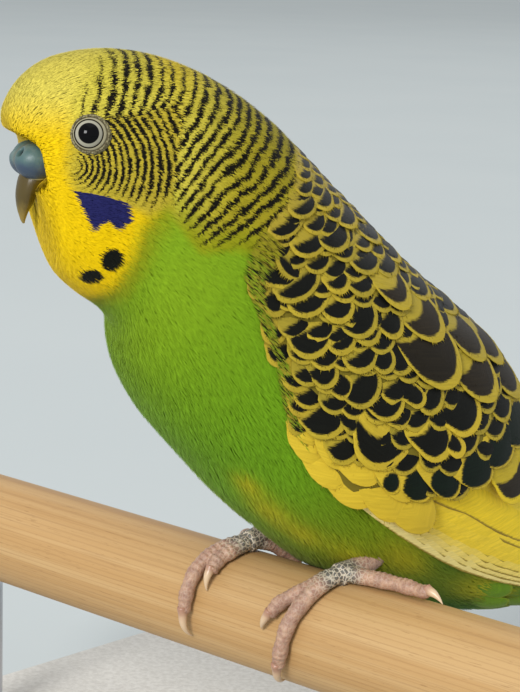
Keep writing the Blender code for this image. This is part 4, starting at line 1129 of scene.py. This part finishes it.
def tail_coverts(first, count, length, rng):
    """A row of coverts across the tail, green with a paler edge."""
    made, shades = [], []
    for k in range(count):
        across = (k + 0.5) / count * 2 - 1
        tip = (first[0] - 0.5 * across**2 + rng.normal(0, 0.05), first[1] + 62 * across)
        root = root_of(tip, length, 0)
        lay = on_wing(root, tip, 1.9, (-0.6, 0.4 + 0.15 * (k % 2)), 0.0, 1, 0.2)
        made.append(vane(lay, length, 1.9, (0.5, 0.0, 0.0, 1.6), rng, 0.5, UNDER_ROWS))
        green = blend(BELLY_GREEN, BREAST_GREEN, rng.uniform(0, 1)) * rng.uniform(0.6, 0.8)
        shades.append((green, blend(green, BELLY_YELLOW, 0.25), FEATHER_BLACK))
    return made, shades


def dress_tail():
    rng = np.random.default_rng(41)
    made, shades = [], []
    for pair in reversed(range(1, len(TAIL_LENGTHS))):
        for sign in (1, -1):
            length = TAIL_LENGTHS[pair]
            lay = straight_lay(length, TAIL_HALF, sign * TAIL_SPREAD, sign * TAIL_SPLAY * pair,
                               TAIL_STEP * (pair + 1))
            made.append(vane(lay, length, TAIL_HALF, (0.7, 4.0, 1.0, 2.5), rng, 0.3))
            shades.append((TAIL_YELLOW, TAIL_BLUE_EDGE, TAIL_DARK))
    for sign, drop in ((-1, TAIL_STEP), (1, 0.0)):
        length = TAIL_LENGTHS[0] - drop
        lay = straight_lay(length, CENTRAL_HALF, sign * CENTRAL_SPREAD, 0.0, drop)
        made.append(vane(lay, length, CENTRAL_HALF, (0.6, 0.0, 0.0, 4.0), rng, 0.3))
        shades.append((TAIL_BLUE, TAIL_BLUE_EDGE, TAIL_DARK))
    vane_piece("tail_feathers", made, shades, VANE, ("tail",))
    made, shades = [], []
    for station in (16.6, 17.0, 17.4, 17.8, 18.2, 18.6):
        for middle in (0.0, 180.0):
            row, tints = tail_coverts((station, middle), 8, 11.0, rng)
            made += row
            shades += tints
    vane_piece("tail_coverts", made, shades, VANE, ("tail",))


dress_tail()

# %% [markdown]
# ## Lofts
# Eyes, cere, bill, toes, perch and stand are all rings of points joined in a row, so one helper makes them. It
# closes both ends with a fan, which keeps every piece a closed mesh.

# %% Loft helper
def loft(rings):
    """Points and triangles of a closed loft through rings of points."""
    rings = np.asarray(rings, float)
    count, around = rings.shape[:2]
    points = np.r_[rings.reshape(-1, 3), rings[:1].mean(1), rings[-1:].mean(1)]
    row, i = (grid.ravel() for grid in np.meshgrid(range(count - 1), range(around), indexing="ij"))
    j = (i + 1) % around
    a, b, c, d = row * around + i, row * around + j, (row + 1) * around + j, (row + 1) * around + i
    i = np.arange(around)
    j = (i + 1) % around
    first, last, end = count * around, count * around + 1, (count - 1) * around
    caps = np.r_[np.stack([np.full(around, first), j, i], -1),
                 np.stack([np.full(around, last), end + i, end + j], -1)]
    return points, np.r_[np.stack([a, b, c], -1), np.stack([a, c, d], -1), caps]


def joined(parts):
    """Several lofts as one set of points and triangles."""
    points, faces, counted = [], [], 0
    for corners, triangles in parts:
        points.append(corners)
        faces.append(triangles + counted)
        counted += len(corners)
    return np.concatenate(points), np.concatenate(faces)


def smooth_path(points, count):
    """More places on a smooth curve through a few points with any number of values each."""
    points = np.asarray(points, float)
    padded = np.r_[[2 * points[0] - points[1]], points, [2 * points[-1] - points[-2]]]
    share = np.linspace(0, len(points) - 1, count)
    i = np.minimum(share.astype(int), len(points) - 2)
    f = (share - i)[:, None]
    p0, p1, p2, p3 = (padded[i + k] for k in range(4))
    return 0.5 * (2 * p1 + (p2 - p0) * f + (2 * p0 - 5 * p1 + 4 * p2 - p3) * f**2
                  + (3 * p1 - p0 - 3 * p2 + p3) * f**3)


def sweep(path, radii, sides=20, shape=None):
    """Rings round a path. The shape gives each ring's own radius at every turn."""
    path = np.asarray(path, float)
    run = np.gradient(path, axis=0)
    run /= np.linalg.norm(run, axis=1, keepdims=True)
    first = np.cross(run[0], (0.3, 0.1, 0.9))
    turns = np.linspace(0, 2 * np.pi, sides, endpoint=False)
    rings = []
    for k, (point, ahead, radius) in enumerate(zip(path, run, radii)):
        first = first - ahead * first.dot(ahead)
        first /= np.linalg.norm(first)
        second = np.cross(ahead, first)
        out = np.outer(np.cos(turns), first) + np.outer(np.sin(turns), second)
        grow = 1.0 if shape is None else shape(k / (len(path) - 1), out)[:, None]
        rings.append(point + radius * grow * out)
    return np.array(rings)


# %% [markdown]
# ## Eyes
# A budgerigar's eye is a dark ball in a ring of bare, beaded skin. The adult's iris is a thin pale ring round a
# wide pupil. The ball keeps the solid's centre and radius. Pupil and iris are drawn by the distance from the
# eye's axis, so they are true circles, and a smooth, low-roughness surface gives the wet gleam.

# %% Eyes
EYE_RADIUS = 2.5
PUPIL, IRIS = 1.50, 1.94     # mm from the axis
LID_PROFILE = [(2.0, -0.2), (2.1, 0.1), (2.2, 0.18), (2.3, 0.1), (2.4, -0.06), (2.52, 0.04), (2.7, 0.08),
               (2.88, -0.1), (3.05, -0.5), (2.6, -1.2)]      # mm from the axis, and over the surface
LID_BEADS = 30
EYE_BLACK, IRIS_PALE = colour(4, 4, 5), colour(164, 160, 142)
LID_BEIGE, LID_PALE, LID_CREASE_SHADE = colour(144, 136, 102), colour(150, 143, 116), colour(74, 66, 42)


def eye_axes(side):
    angle = EYE_ANGLE * side
    centre = over(EYE_STATION, angle, -EYE_DEPTH)
    outward = over(EYE_STATION, angle, 1.0) - over(EYE_STATION, angle, 0.0)
    outward /= np.linalg.norm(outward)
    first = np.cross(outward, (0, 0, 1))
    first /= np.linalg.norm(first)
    return centre, outward, first, np.cross(outward, first)


def eye_finish():
    finish = Finish("eye", 0.05, Specular_IOR_Level=0.12)
    far, turn, _ = finish.node("SeparateXYZ", {"Vector": finish.attribute("eye").outputs["Vector"]}).outputs
    rays = finish.noise(finish.node("CombineXYZ", {"X": turn}).outputs[0], 9.0)
    iris = finish.mix(rays, IRIS_PALE * 0.75, IRIS_PALE)
    seen = finish.mix(finish.step(far, PUPIL - 0.05, PUPIL + 0.05), EYE_BLACK, iris)
    return finish.paint(finish.mix(finish.step(far, IRIS - 0.06, IRIS + 0.05), seen, EYE_BLACK))


def lid_finish():
    """Bare skin in rings: a pale fold at the eye and beige beads outside, with painted shade in the creases next to
    the eye, in the groove and between the small skin cells.
    """
    finish = Finish("lid_skin", 0.6, Specular_IOR_Level=0.25)
    far = finish.node("SeparateXYZ", {"Vector": finish.attribute("lid").outputs["Vector"]}).outputs[0]
    cells = finish.node("TexVoronoi", {"Vector": finish.stretched((1, 1, 1)), "Scale": 3.4})
    # Painted shade: the dark colour lies between the skin's small cells, in the groove and next to the eye, where
    # the lid dips.
    tint = finish.mix(finish.step(cells.outputs["Distance"], 0.15, 0.8), LID_BEIGE, LID_CREASE_SHADE)
    tint = finish.mix(finish.step(far, 2.56, 2.46), tint, LID_CREASE_SHADE)
    tint = finish.mix(finish.step(far, 2.42, 2.3), tint, LID_PALE)
    tint = finish.mix(finish.step(far, 2.18, 2.1), tint, LID_CREASE_SHADE)
    finish.bump(cells.outputs["Distance"], 0.5, -0.1)
    return finish.paint(tint)


def make_eye(side_name, side, finish, lid):
    centre, outward, first, second = eye_axes(side)
    turns = np.linspace(0, 2 * np.pi, 48, endpoint=False)
    round_axis = np.outer(np.cos(turns), first) + np.outer(np.sin(turns), second)
    polar = np.linspace(0.01, np.pi - 0.01, 48)
    points, faces = loft([centre + EYE_RADIUS * (round_axis * np.sin(p) + outward * np.cos(p)) for p in polar])
    off = points - centre
    along = off @ outward
    far = np.linalg.norm(off - np.outer(along, outward), axis=1) + 9.0 * (along < 0)
    marks = np.stack([far, np.arctan2(off @ second, off @ first) * 4, 0 * far], -1)
    make_piece("eye_" + side_name + "_ball", points, faces, finish, ("eye_" + side_name,),
               vectors={"eye": marks})
    profile = smooth_path(LID_PROFILE, 30)
    turns = np.linspace(0, 2 * np.pi, 120, endpoint=False)
    beads = 1 + np.cos(turns * LID_BEADS)
    rings = []
    for far, rise in profile:
        bead = 0.04 * beads * np.exp(-((far - 2.68) / 0.18) ** 2)
        back = 1 + 0.07 * np.cos(turns - math.pi)
        flat = np.outer(np.cos(turns), first) + np.outer(np.sin(turns), second)
        rings.append(centre + outward * (EYE_DEPTH + rise - far**2 / 30 + bead)[:, None]
                     + flat * (far * back if far > 2.3 else far * np.ones_like(back))[:, None])
    points, faces = loft(rings)
    ring = np.r_[np.repeat(profile[:, 0], len(turns)), 0, 0]
    make_piece("lid_" + side_name, points, faces, lid,
               vectors={"lid": np.stack([ring, ring, ring], -1)})


EYE, LID = eye_finish(), lid_finish()
make_eye("left", 1, EYE, LID)
make_eye("right", -1, EYE, LID)

# %% [markdown]
# ## Cere and bill
# The cere is the smooth, waxy swelling over the bill, two lobes with a nostril in each. Its two ellipsoids share an
# inside point, so one ball of directions can be blown up to whichever lobe is further out, with no boolean. The
# bill is a curved horn: the same centre lines as the solids, with more rings and a slight keel.

# %% Cere
CERE_MIDDLE = (0.0, -45.8, 67.5)
CERE_LOBE, CERE_SPREAD = (2.8, 3.5, 2.8), 1.9
NOSTRIL_TOWARD, NOSTRIL_SIZE, NOSTRIL_DEPTH = (0.66, -0.80, 0.44), 0.14, 0.8
CERE_TEAL, CERE_BLUE, CERE_PALE = colour(72, 98, 98), colour(56, 70, 88), colour(104, 120, 118)
CERE_CREAM, CERE_BROWN = colour(196, 192, 160), colour(110, 100, 84)


def make_cere():
    across, along = 96, 64
    polar = np.linspace(0.02, np.pi - 0.02, along)[:, None]
    turns = np.linspace(0, 2 * np.pi, across, endpoint=False)
    way = np.stack([np.cos(turns) * np.sin(polar), np.broadcast_to(-np.cos(polar), (along, across)),
                    np.sin(turns) * np.sin(polar)], -1)
    reach = []
    for side in (-1, 1):
        lobe, off = way / CERE_LOBE, np.array([side * CERE_SPREAD, 0, 0]) / CERE_LOBE
        a, b, c = (lobe**2).sum(-1), -(lobe * off).sum(-1), (off**2).sum() - 1
        reach.append((-b + np.sqrt(np.maximum(b * b - a * c, 0))) / a)
    far = np.log(np.exp(6 * reach[0]) + np.exp(6 * reach[1])) / 6
    for side in (-1, 1):
        toward = np.array(NOSTRIL_TOWARD) * (side, 1, 1)
        toward = toward / np.linalg.norm(toward)
        off = np.linalg.norm((way - toward) * (1, 1, 0.75), axis=-1)
        far = far * (1 - NOSTRIL_DEPTH / 3 * np.exp(-(off / NOSTRIL_SIZE) ** 4))
    points, faces = loft(way * far[..., None] + CERE_MIDDLE)
    depth = np.r_[far.ravel() / np.maximum(reach[0], reach[1]).ravel(), 1, 1]
    finish = Finish("cere_skin", 0.42, Specular_IOR_Level=0.35, Coat_Weight=0.08, Coat_Roughness=0.3)
    hole, low, middle = finish.node("SeparateXYZ",
                                    {"Vector": finish.attribute("cere").outputs["Vector"]}).outputs
    where = finish.stretched((1, 1, 1))
    blotch = finish.noise(where, 0.45, 3.0)
    uneven = finish.math("MULTIPLY_ADD", blotch, 1.6, finish.math("SUBTRACT", low, 0.8))
    tint = finish.mix(finish.step(blotch, 0.45, 0.75), CERE_TEAL, CERE_PALE)
    tint = finish.mix(finish.step(uneven, 0.6, -1.2), tint, CERE_BLUE)
    tint = finish.mix(finish.math("MULTIPLY", finish.step(middle, 1.2, 0.2), 0.6), tint, CERE_BROWN)
    tint = finish.mix(finish.step(low, -2.35, -2.6), tint, CERE_CREAM)
    # Painted shade inside the nostrils: near black where the lobes dip in.
    tint = finish.mix(finish.step(hole, 0.72, 0.93), colour(14, 12, 12), tint)
    finish.bump(finish.noise(where, 2.6, 3.0), 0.25, 0.15)
    marks = np.stack([depth, points[:, 2] - CERE_MIDDLE[2], np.abs(points[:, 0])], -1)
    make_piece("cere_lobes", head_to_frame(points), faces, finish.paint(tint), ("cere",),
               vectors={"cere": marks})


make_cere()

# %% Bill
UPPER_BEAK = [               # back, up, half width, half depth, mm
    (-44.3, 65.4, 2.7, 2.3), (-46.1, 64.6, 2.6, 2.0), (-47.0, 63.0, 2.3, 1.55), (-47.35, 61.4, 1.8, 1.25),
    (-47.55, 60.3, 1.25, 0.9), (-47.6, 59.4, 0.75, 0.6), (-47.6, 58.7, 0.45, 0.38), (-47.5, 58.1, 0.15, 0.15),
]
LOWER_BEAK = [
    (-41.0, 61.4, 2.0, 1.3), (-42.6, 61.0, 1.7, 1.0), (-43.8, 60.8, 1.2, 0.7), (-44.6, 60.8, 0.5, 0.3),
]
BEAK_OLIVE, BEAK_OCHRE, BEAK_PALE = colour(74, 60, 16), colour(102, 80, 18), colour(134, 112, 46)


def horn(stations, sides=36, rows=30, keel=0.12):
    """A curved, tapered horn with a slight keel, in the head's axes before it turns."""
    rows = smooth_path(stations, rows)
    run = np.gradient(rows[:, :2], axis=0)
    run /= np.linalg.norm(run, axis=1, keepdims=True)
    turns = np.linspace(0, 2 * np.pi, sides, endpoint=False)
    rings = []
    for (back, up, half, deep), (run_back, run_up) in zip(rows, run):
        left = np.cos(turns) * half
        out = np.sin(turns) * deep * (1 + keel * np.maximum(-np.sin(turns), 0) ** 6)
        rings.append(np.stack([left, back - out * run_up, up + out * run_back], -1))
    return loft(rings)


def horn_finish(name, pale, deep, tip_up, base_up):
    """Horn that is darker at its root and pale at its tip, between two heights in the head's axes."""
    finish = Finish(name, 0.34, Specular_IOR_Level=0.5)
    height, _, _ = finish.node("SeparateXYZ", {"Vector": finish.attribute("horn").outputs["Vector"]}).outputs
    grain = finish.noise(finish.stretched((1, 1, 0.2)), 2.4, 3.0)
    mixed = finish.math("MULTIPLY_ADD", grain, 1.6, finish.math("SUBTRACT", height, 0.8))
    tint = finish.mix(finish.step(mixed, tip_up, base_up), pale, deep)
    finish.bump(grain, 0.3, 0.12)
    return finish.paint(tint)


def make_bill():
    for name, stations, node in (("bill_upper", UPPER_BEAK, "beak_upper"), ("bill_lower", LOWER_BEAK, "beak_lower")):
        points, faces = horn(stations)
        heights = np.stack([points[:, 2]] + [0 * points[:, 2]] * 2, -1)
        finish = horn_finish(name, BEAK_PALE, BEAK_OLIVE if node == "beak_upper" else BEAK_OCHRE, 58.6, 62.0)
        make_piece(name, head_to_frame(points), faces, finish, (node,), vectors={"horn": heights})


make_bill()

# %% [markdown]
# ## Feet
# Two toes grip to the front and two to the back. Each toe is a sweep over the perch with pads under its joints and
# rings of scutes on top, and a shank, widest at the foot's root, rises from it. The parts are joined by a voxel
# remesh, which gives the soft webs between toes that a boolean would leave sharp. Claws stay separate, since they
# are horn.

# %% Feet
GAP = 0.3                    # mm between a toe and the perch
TOE_RADIUS, TOE_TAPER = 1.42, 0.8
TOES = {                     # along the perch from the grip, and degrees from its top towards the front
    "left": [[(12.0, 10), (9.4, 36), (6.0, 54), (4.4, 68)],
             [(12.0, 12), (10.4, 44), (9.0, 68), (8.0, 92), (6.8, 112)],
             [(12.6, 6), (17.6, 0), (22.6, -5), (27.8, -6)],
             [(12.0, 2), (11.0, -26), (10.0, -50), (9.6, -72)]],
    "right": [[(-9.6, 2), (-9.8, 20), (-10.6, 34), (-10.6, 48)],
              [(-9.8, 2), (-12.2, 26), (-13.5, 48), (-13.7, 70), (-13.6, 90)],
              [(-10.2, -2), (-14.4, -24), (-17.0, -44), (-18.4, -62)],
              [(-9.6, -4), (-8.4, -30), (-7.6, -52), (-7.2, -72)]],
}
ANKLES = {"left": (13.0, 7.0, 10.5), "right": (-9.5, 4.5, 10.5)}   # from the grip, mm
SHANK_RADIUS, SHANK_LENGTH = 1.6, 8.0
CLAW_RADIUS, CLAW_ARCH = 0.75, 0.11   # mm, and the share of its length that a claw arches up
CLAW_LENGTHS = {"left": (3.2, 5.0, 2.6, 5.0), "right": (3.0, 4.6, 5.0, 5.0)}
SCUTE_PERIOD, SCUTE_HEIGHT = 0.95, 0.07
FOOT_VOXEL = 0.17            # mm
FOOT_PINK, FOOT_DUSK, SCALE_CREAM = colour(176, 138, 114), colour(150, 114, 96), colour(222, 206, 182)
PALM_GREY = colour(96, 92, 84)
CLAW_PALE, CLAW_ROOT = colour(204, 176, 142), colour(162, 120, 98)


def over_perch(along, degrees, reach):
    """Place over the perch: along it, round it from the top towards the front, and out from its axis."""
    a = np.radians(degrees)
    return np.stack([along + 0 * a, -reach * np.sin(a), reach * np.cos(a)], -1) + GRIP


def toe_sweep(knots):
    line = smooth_path(knots, 60)
    share = np.linspace(0, 1, 60)
    pads = 1 + 0.10 * np.cos(2 * np.pi * share * (len(knots) - 0.5) + math.pi) * share
    thick = TOE_RADIUS * (1 + (TOE_TAPER - 1) * share) * pads
    thick[-5:] *= np.sqrt(np.linspace(1, 0.15, 5))
    middle = TOE_RADIUS * (1 + (TOE_TAPER - 1) * share)
    path = over_perch(line[:, 0], line[:, 1], PERCH_RADIUS + GAP + middle)
    long = np.r_[0, np.cumsum(np.linalg.norm(np.diff(path, axis=0), axis=1))]

    def scutes(at, out):
        point = path[int(round(at * 59))]
        away = point - GRIP
        away[0] = 0
        upper = np.clip(out @ (away / np.linalg.norm(away)), 0, 1)
        ripple = np.cos(2 * np.pi * np.interp(at, share, long) / SCUTE_PERIOD)
        return 1 + SCUTE_HEIGHT * ripple * (0.35 + upper)
    return loft(sweep(path, thick, 24, scutes)), path


def claw_sweep(path, knots, length):
    """A claw that leaves the upper half of a toe's end and curves down along the perch."""
    knots = np.asarray(knots, float)
    reach = PERCH_RADIUS + GAP + TOE_RADIUS * TOE_TAPER
    step = knots[-1] - knots[-2]
    stride = math.hypot(step[0], math.radians(step[1]) * reach)
    share = np.linspace(-0.3, 1.0, 24)
    along = knots[-1, 0] + step[0] / stride * share * length
    degrees = knots[-1, 1] + step[1] / stride * share * length
    radius = CLAW_RADIUS * (1 - 0.93 * np.clip(share, 0, 1) ** 1.3)
    arch = CLAW_ARCH * length * 4 * np.clip(share, 0, 1) * (1 - share)
    height = PERCH_RADIUS + GAP + np.maximum(radius, TOE_RADIUS * (1.05 - share)) + arch
    return loft(sweep(over_perch(along, degrees, height), radius, 18))


def foot_parts(side):
    parts, claws = [], []
    for knots, length in zip(TOES[side], CLAW_LENGTHS[side]):
        toe, path = toe_sweep(knots)
        parts.append(toe)
        claws.append(claw_sweep(path, knots, length))
    start = over_perch(*TOES[side][1][0], PERCH_RADIUS + GAP + TOE_RADIUS)
    ankle = np.array(ANKLES[side]) + GRIP
    up = np.array([0.0, 0.35, 1.0]) * SHANK_LENGTH
    shank = smooth_path([start, (start + ankle) / 2 + (0, 0, 0.8), ankle + (0, 0, 3.0), ankle + up], 24)
    parts.append(loft(sweep(shank, np.linspace(1.9, SHANK_RADIUS, 24), 20)))
    return parts, claws, start


def foot_finish():
    finish = Finish("foot_scales", 0.5, Specular_IOR_Level=0.4, Subsurface_Weight=0.05)
    palm = finish.node("SeparateXYZ", {"Vector": finish.attribute("foot").outputs["Vector"]}).outputs[0]
    where = finish.stretched((1, 1, 1))
    bent = finish.node("Mix", {}, data_type="VECTOR")
    finish.feed(bent.inputs[0], 0.25)
    finish.feed(bent.inputs[4], where)
    finish.feed(bent.inputs[5], finish.node("TexNoise", {"Vector": where, "Scale": 0.9}).outputs["Color"])
    cells = finish.node("TexVoronoi", {"Vector": bent.outputs[1], "Scale": 1.9}, feature="DISTANCE_TO_EDGE")
    edge = finish.step(cells.outputs["Distance"], 0.16, 0.02)
    blotch = finish.noise(where, 0.8, 3.0)
    skin = finish.mix(finish.step(blotch, 0.35, 0.7), FOOT_DUSK, FOOT_PINK)
    grey = finish.mix(finish.step(palm, 0.25, 0.7), skin, PALM_GREY)
    flakes = finish.math("MULTIPLY", edge, finish.math("MULTIPLY_ADD", palm, 0.7, 0.1))
    tint = finish.mix(flakes, grey, SCALE_CREAM)
    height = finish.math("MULTIPLY_ADD", cells.outputs["Distance"], 0.8, finish.math("MULTIPLY", blotch, 0.3))
    finish.bump(height, 0.7, 0.25)
    return finish.paint(tint)


def claw_finish():
    finish = Finish("claw_horn", 0.32, Specular_IOR_Level=0.5)
    root = finish.node("SeparateXYZ", {"Vector": finish.attribute("claw").outputs["Vector"]}).outputs[0]
    return finish.paint(finish.mix(finish.step(root, 0.5, 0.0), CLAW_PALE, CLAW_ROOT))


def remeshed(name, points, faces, voxel, smooth_turns=4):
    """One skin round several closed lofts, as arrays in millimetres."""
    rough = grid_mesh(name, points * MM, [tuple(int(v) for v in face) for face in faces])
    skin = rough.modifiers.new("skin", "REMESH")
    skin.mode = "VOXEL"
    skin.voxel_size = voxel * MM
    soft = rough.modifiers.new("soft", "SMOOTH")
    soft.iterations = smooth_turns
    made = bpy.data.meshes.new_from_object(rough.evaluated_get(bpy.context.evaluated_depsgraph_get()))
    bpy.data.objects.remove(rough)
    corners = np.zeros(len(made.vertices) * 3)
    made.vertices.foreach_get("co", corners)
    made.calc_loop_triangles()
    triangles = np.zeros(len(made.loop_triangles) * 3, np.int32)
    made.loop_triangles.foreach_get("vertices", triangles)
    bpy.data.meshes.remove(made)
    return corners.reshape(-1, 3) / MM, triangles.reshape(-1, 3)


def make_feet():
    scales, horn_of_claws = foot_finish(), claw_finish()
    for side in ("left", "right"):
        parts, claws, root = foot_parts(side)
        points, faces = remeshed("foot_" + side, *joined(parts), FOOT_VOXEL)
        near = np.exp(-(np.linalg.norm(points - root, axis=1) / 4.2) ** 2)
        make_piece("foot_" + side, points, faces, scales, ("leg_" + side,),
                   vectors={"foot": np.stack([near, near, near], -1)})
        points, faces = joined(claws)
        share = np.tile(np.r_[np.repeat(np.linspace(0, 1, 24), 18), 0, 1], len(claws))
        make_piece("claws_" + side, points, faces, horn_of_claws, ("leg_" + side,),
                   vectors={"claw": np.stack([share, share, share], -1)})


make_feet()

# %% [markdown]
# ## Perch and stand
# The perch is turned hardwood, with long fine grain along it and rings on its cut ends. Grain is noise squeezed
# across the wood and stretched along it. The stand is plain: a satin base and two steel rods that run up into
# the perch, as the photograph shows no stand and nothing of it lies in the picture.

# %% Perch
CHAMFER = 0.8
WOOD_PALE, WOOD_WARM, WOOD_LINE = colour(188, 154, 106), colour(176, 138, 88), colour(126, 90, 54)


def wood_finish():
    finish = Finish("perch_wood", 0.52, Specular_IOR_Level=0.35)
    place = finish.node("TexCoord").outputs["Object"]
    drift = finish.noise(finish.stretched((0.012, 0.06, 0.06)), 1.0, 1.0)
    broad = finish.noise(finish.stretched((0.008, 0.45, 0.45)), 1.0, 2.0)
    fine = finish.noise(finish.stretched((0.05, 3.2, 3.2)), 1.0, 3.0, 0.6)
    pores = finish.noise(finish.stretched((0.35, 6.0, 6.0)), 1.0, 1.0)
    bands = finish.node("TexWave", {"Vector": finish.stretched((0.004, 0.32, 0.4)), "Scale": 1.0,
                                    "Distortion": 5.0, "Detail": 2.0, "Detail Scale": 0.6}, bands_direction="Z")
    tint = finish.mix(finish.step(broad, 0.3, 0.7), WOOD_PALE, WOOD_WARM)
    tint = finish.mix(finish.math("MULTIPLY", finish.step(bands.outputs["Fac"], 0.78, 1.0), 0.22), tint, WOOD_LINE)
    tint = finish.mix(finish.math("MULTIPLY", finish.step(fine, 0.5, 0.75), 0.3), tint, WOOD_LINE)
    tint = finish.mix(finish.math("MULTIPLY", finish.step(pores, 0.66, 0.74), 0.45), tint, WOOD_LINE)
    tint = finish.mix(finish.math("MULTIPLY", drift, 0.25), tint, WOOD_WARM)
    middle = finish.node("VectorMath", {0: place, 1: tuple(GRIP * MM)}, operation="SUBTRACT").outputs[0]
    _, y, z = finish.node("SeparateXYZ", {"Vector": middle}).outputs
    ring = finish.node("CombineXYZ", {"X": finish.math("SQRT", finish.math(
        "ADD", finish.math("MULTIPLY", y, y), finish.math("MULTIPLY", z, z)))}).outputs[0]
    rings = finish.noise(ring, 900.0, 1.0)
    end = finish.math("ABSOLUTE", finish.node("SeparateXYZ", {
        "Vector": finish.node("TexCoord").outputs["Normal"]}).outputs[0])
    sawn = finish.mix(finish.step(rings, 0.4, 0.6), WOOD_LINE * 1.3, WOOD_WARM)
    finish.bump(finish.math("ADD", fine, pores), 0.25, 0.08)
    return finish.paint(finish.mix(finish.step(end, 0.8, 0.95), tint, sawn))


def make_perch():
    profile = [(0.0, PERCH_RADIUS - CHAMFER), (CHAMFER * 0.4, PERCH_RADIUS - CHAMFER * 0.25),
               (CHAMFER, PERCH_RADIUS)]
    inner = [(x, PERCH_RADIUS) for x in np.linspace(CHAMFER, PERCH_LENGTH - CHAMFER, 50)[1:-1]]
    profile = profile + inner + [(PERCH_LENGTH - x, r) for x, r in reversed(profile)]
    turns = np.linspace(0, 2 * np.pi, 144, endpoint=False)
    left = GRIP[0] - GRIP_ALONG - PERCH_LENGTH / 2
    rings = [np.stack([np.full(144, left + x), GRIP[1] + r * np.cos(turns), GRIP[2] + r * np.sin(turns)], -1)
             for x, r in profile]
    points, faces = loft(rings)
    make_piece("perch_dowel", points, faces, wood_finish(), ("perch",))


make_perch()

# %% Stand
BASE_CORNER, BASE_EDGE = 10.0, 1.2
STAND_GREY, STAND_DARK = colour(206, 202, 194), colour(186, 181, 172)


def base_finish():
    finish = Finish("base_paint", 0.42, Specular_IOR_Level=0.4, Coat_Weight=0.1, Coat_Roughness=0.3)
    speck = finish.noise(finish.stretched((1, 1, 1)), 0.9, 4.0, 0.7)
    finish.bump(speck, 0.15, 0.1)
    return finish.paint(finish.mix(finish.step(speck, 0.3, 0.7), STAND_DARK, STAND_GREY))


def steel_finish():
    finish = Finish("brushed_steel", 0.3, Metallic=1.0)
    brush = finish.noise(finish.stretched((2.0, 2.0, 0.05)), 2.0, 2.0)
    finish.feed(finish.shader.inputs["Roughness"], finish.math("MULTIPLY_ADD", brush, 0.25, 0.2))
    return finish.paint(finish.mix(brush, colour(176, 178, 182), colour(204, 206, 210)))


def make_stand():
    low, high = (np.array(corner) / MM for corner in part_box("stand_base"))
    turns = np.radians(np.concatenate([np.linspace(k * 90, k * 90 + 90, 17) for k in range(4)]))
    corner = np.sign(np.cos(turns + 1e-6 - np.repeat([0, 1e-5, 0, 1e-5], 17)))
    signs = np.repeat([(1, 1), (-1, 1), (-1, -1), (1, -1)], 17, axis=0)
    half = (high - low)[:2] / 2 - BASE_CORNER
    middle = (high + low) / 2
    edge = [(BASE_EDGE * (1 - math.cos(a)), high[2] - BASE_EDGE * (1 - math.sin(a)))
            for a in np.radians(np.linspace(0, 90, 6))]
    rings = []
    for inset, height in [(0.0, low[2]), *edge]:
        reach = BASE_CORNER - inset
        rings.append(np.stack([middle[0] + signs[:, 0] * half[0] + np.cos(turns) * reach,
                               middle[1] + signs[:, 1] * half[1] + np.sin(turns) * reach,
                               np.full(len(turns), height)], -1))
    points, faces = loft(rings)
    make_piece("display_base", points, faces, base_finish(), ("stand_base",), smooth=False)
    steel = steel_finish()
    for side in ("left", "right"):
        low, high = (np.array(corner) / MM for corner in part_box("stand_rod_" + side))
        middle, radius = (low + high) / 2, (high[0] - low[0]) / 2
        heights = np.linspace(low[2], GRIP[2] - PERCH_RADIUS + 1.0, 8)
        path = [(middle[0], middle[1], z) for z in heights]
        points, faces = loft(sweep(path, np.full(8, radius), 48))
        make_piece("display_rod_" + side, points, faces, steel, ("stand_rod_" + side,))


make_stand()
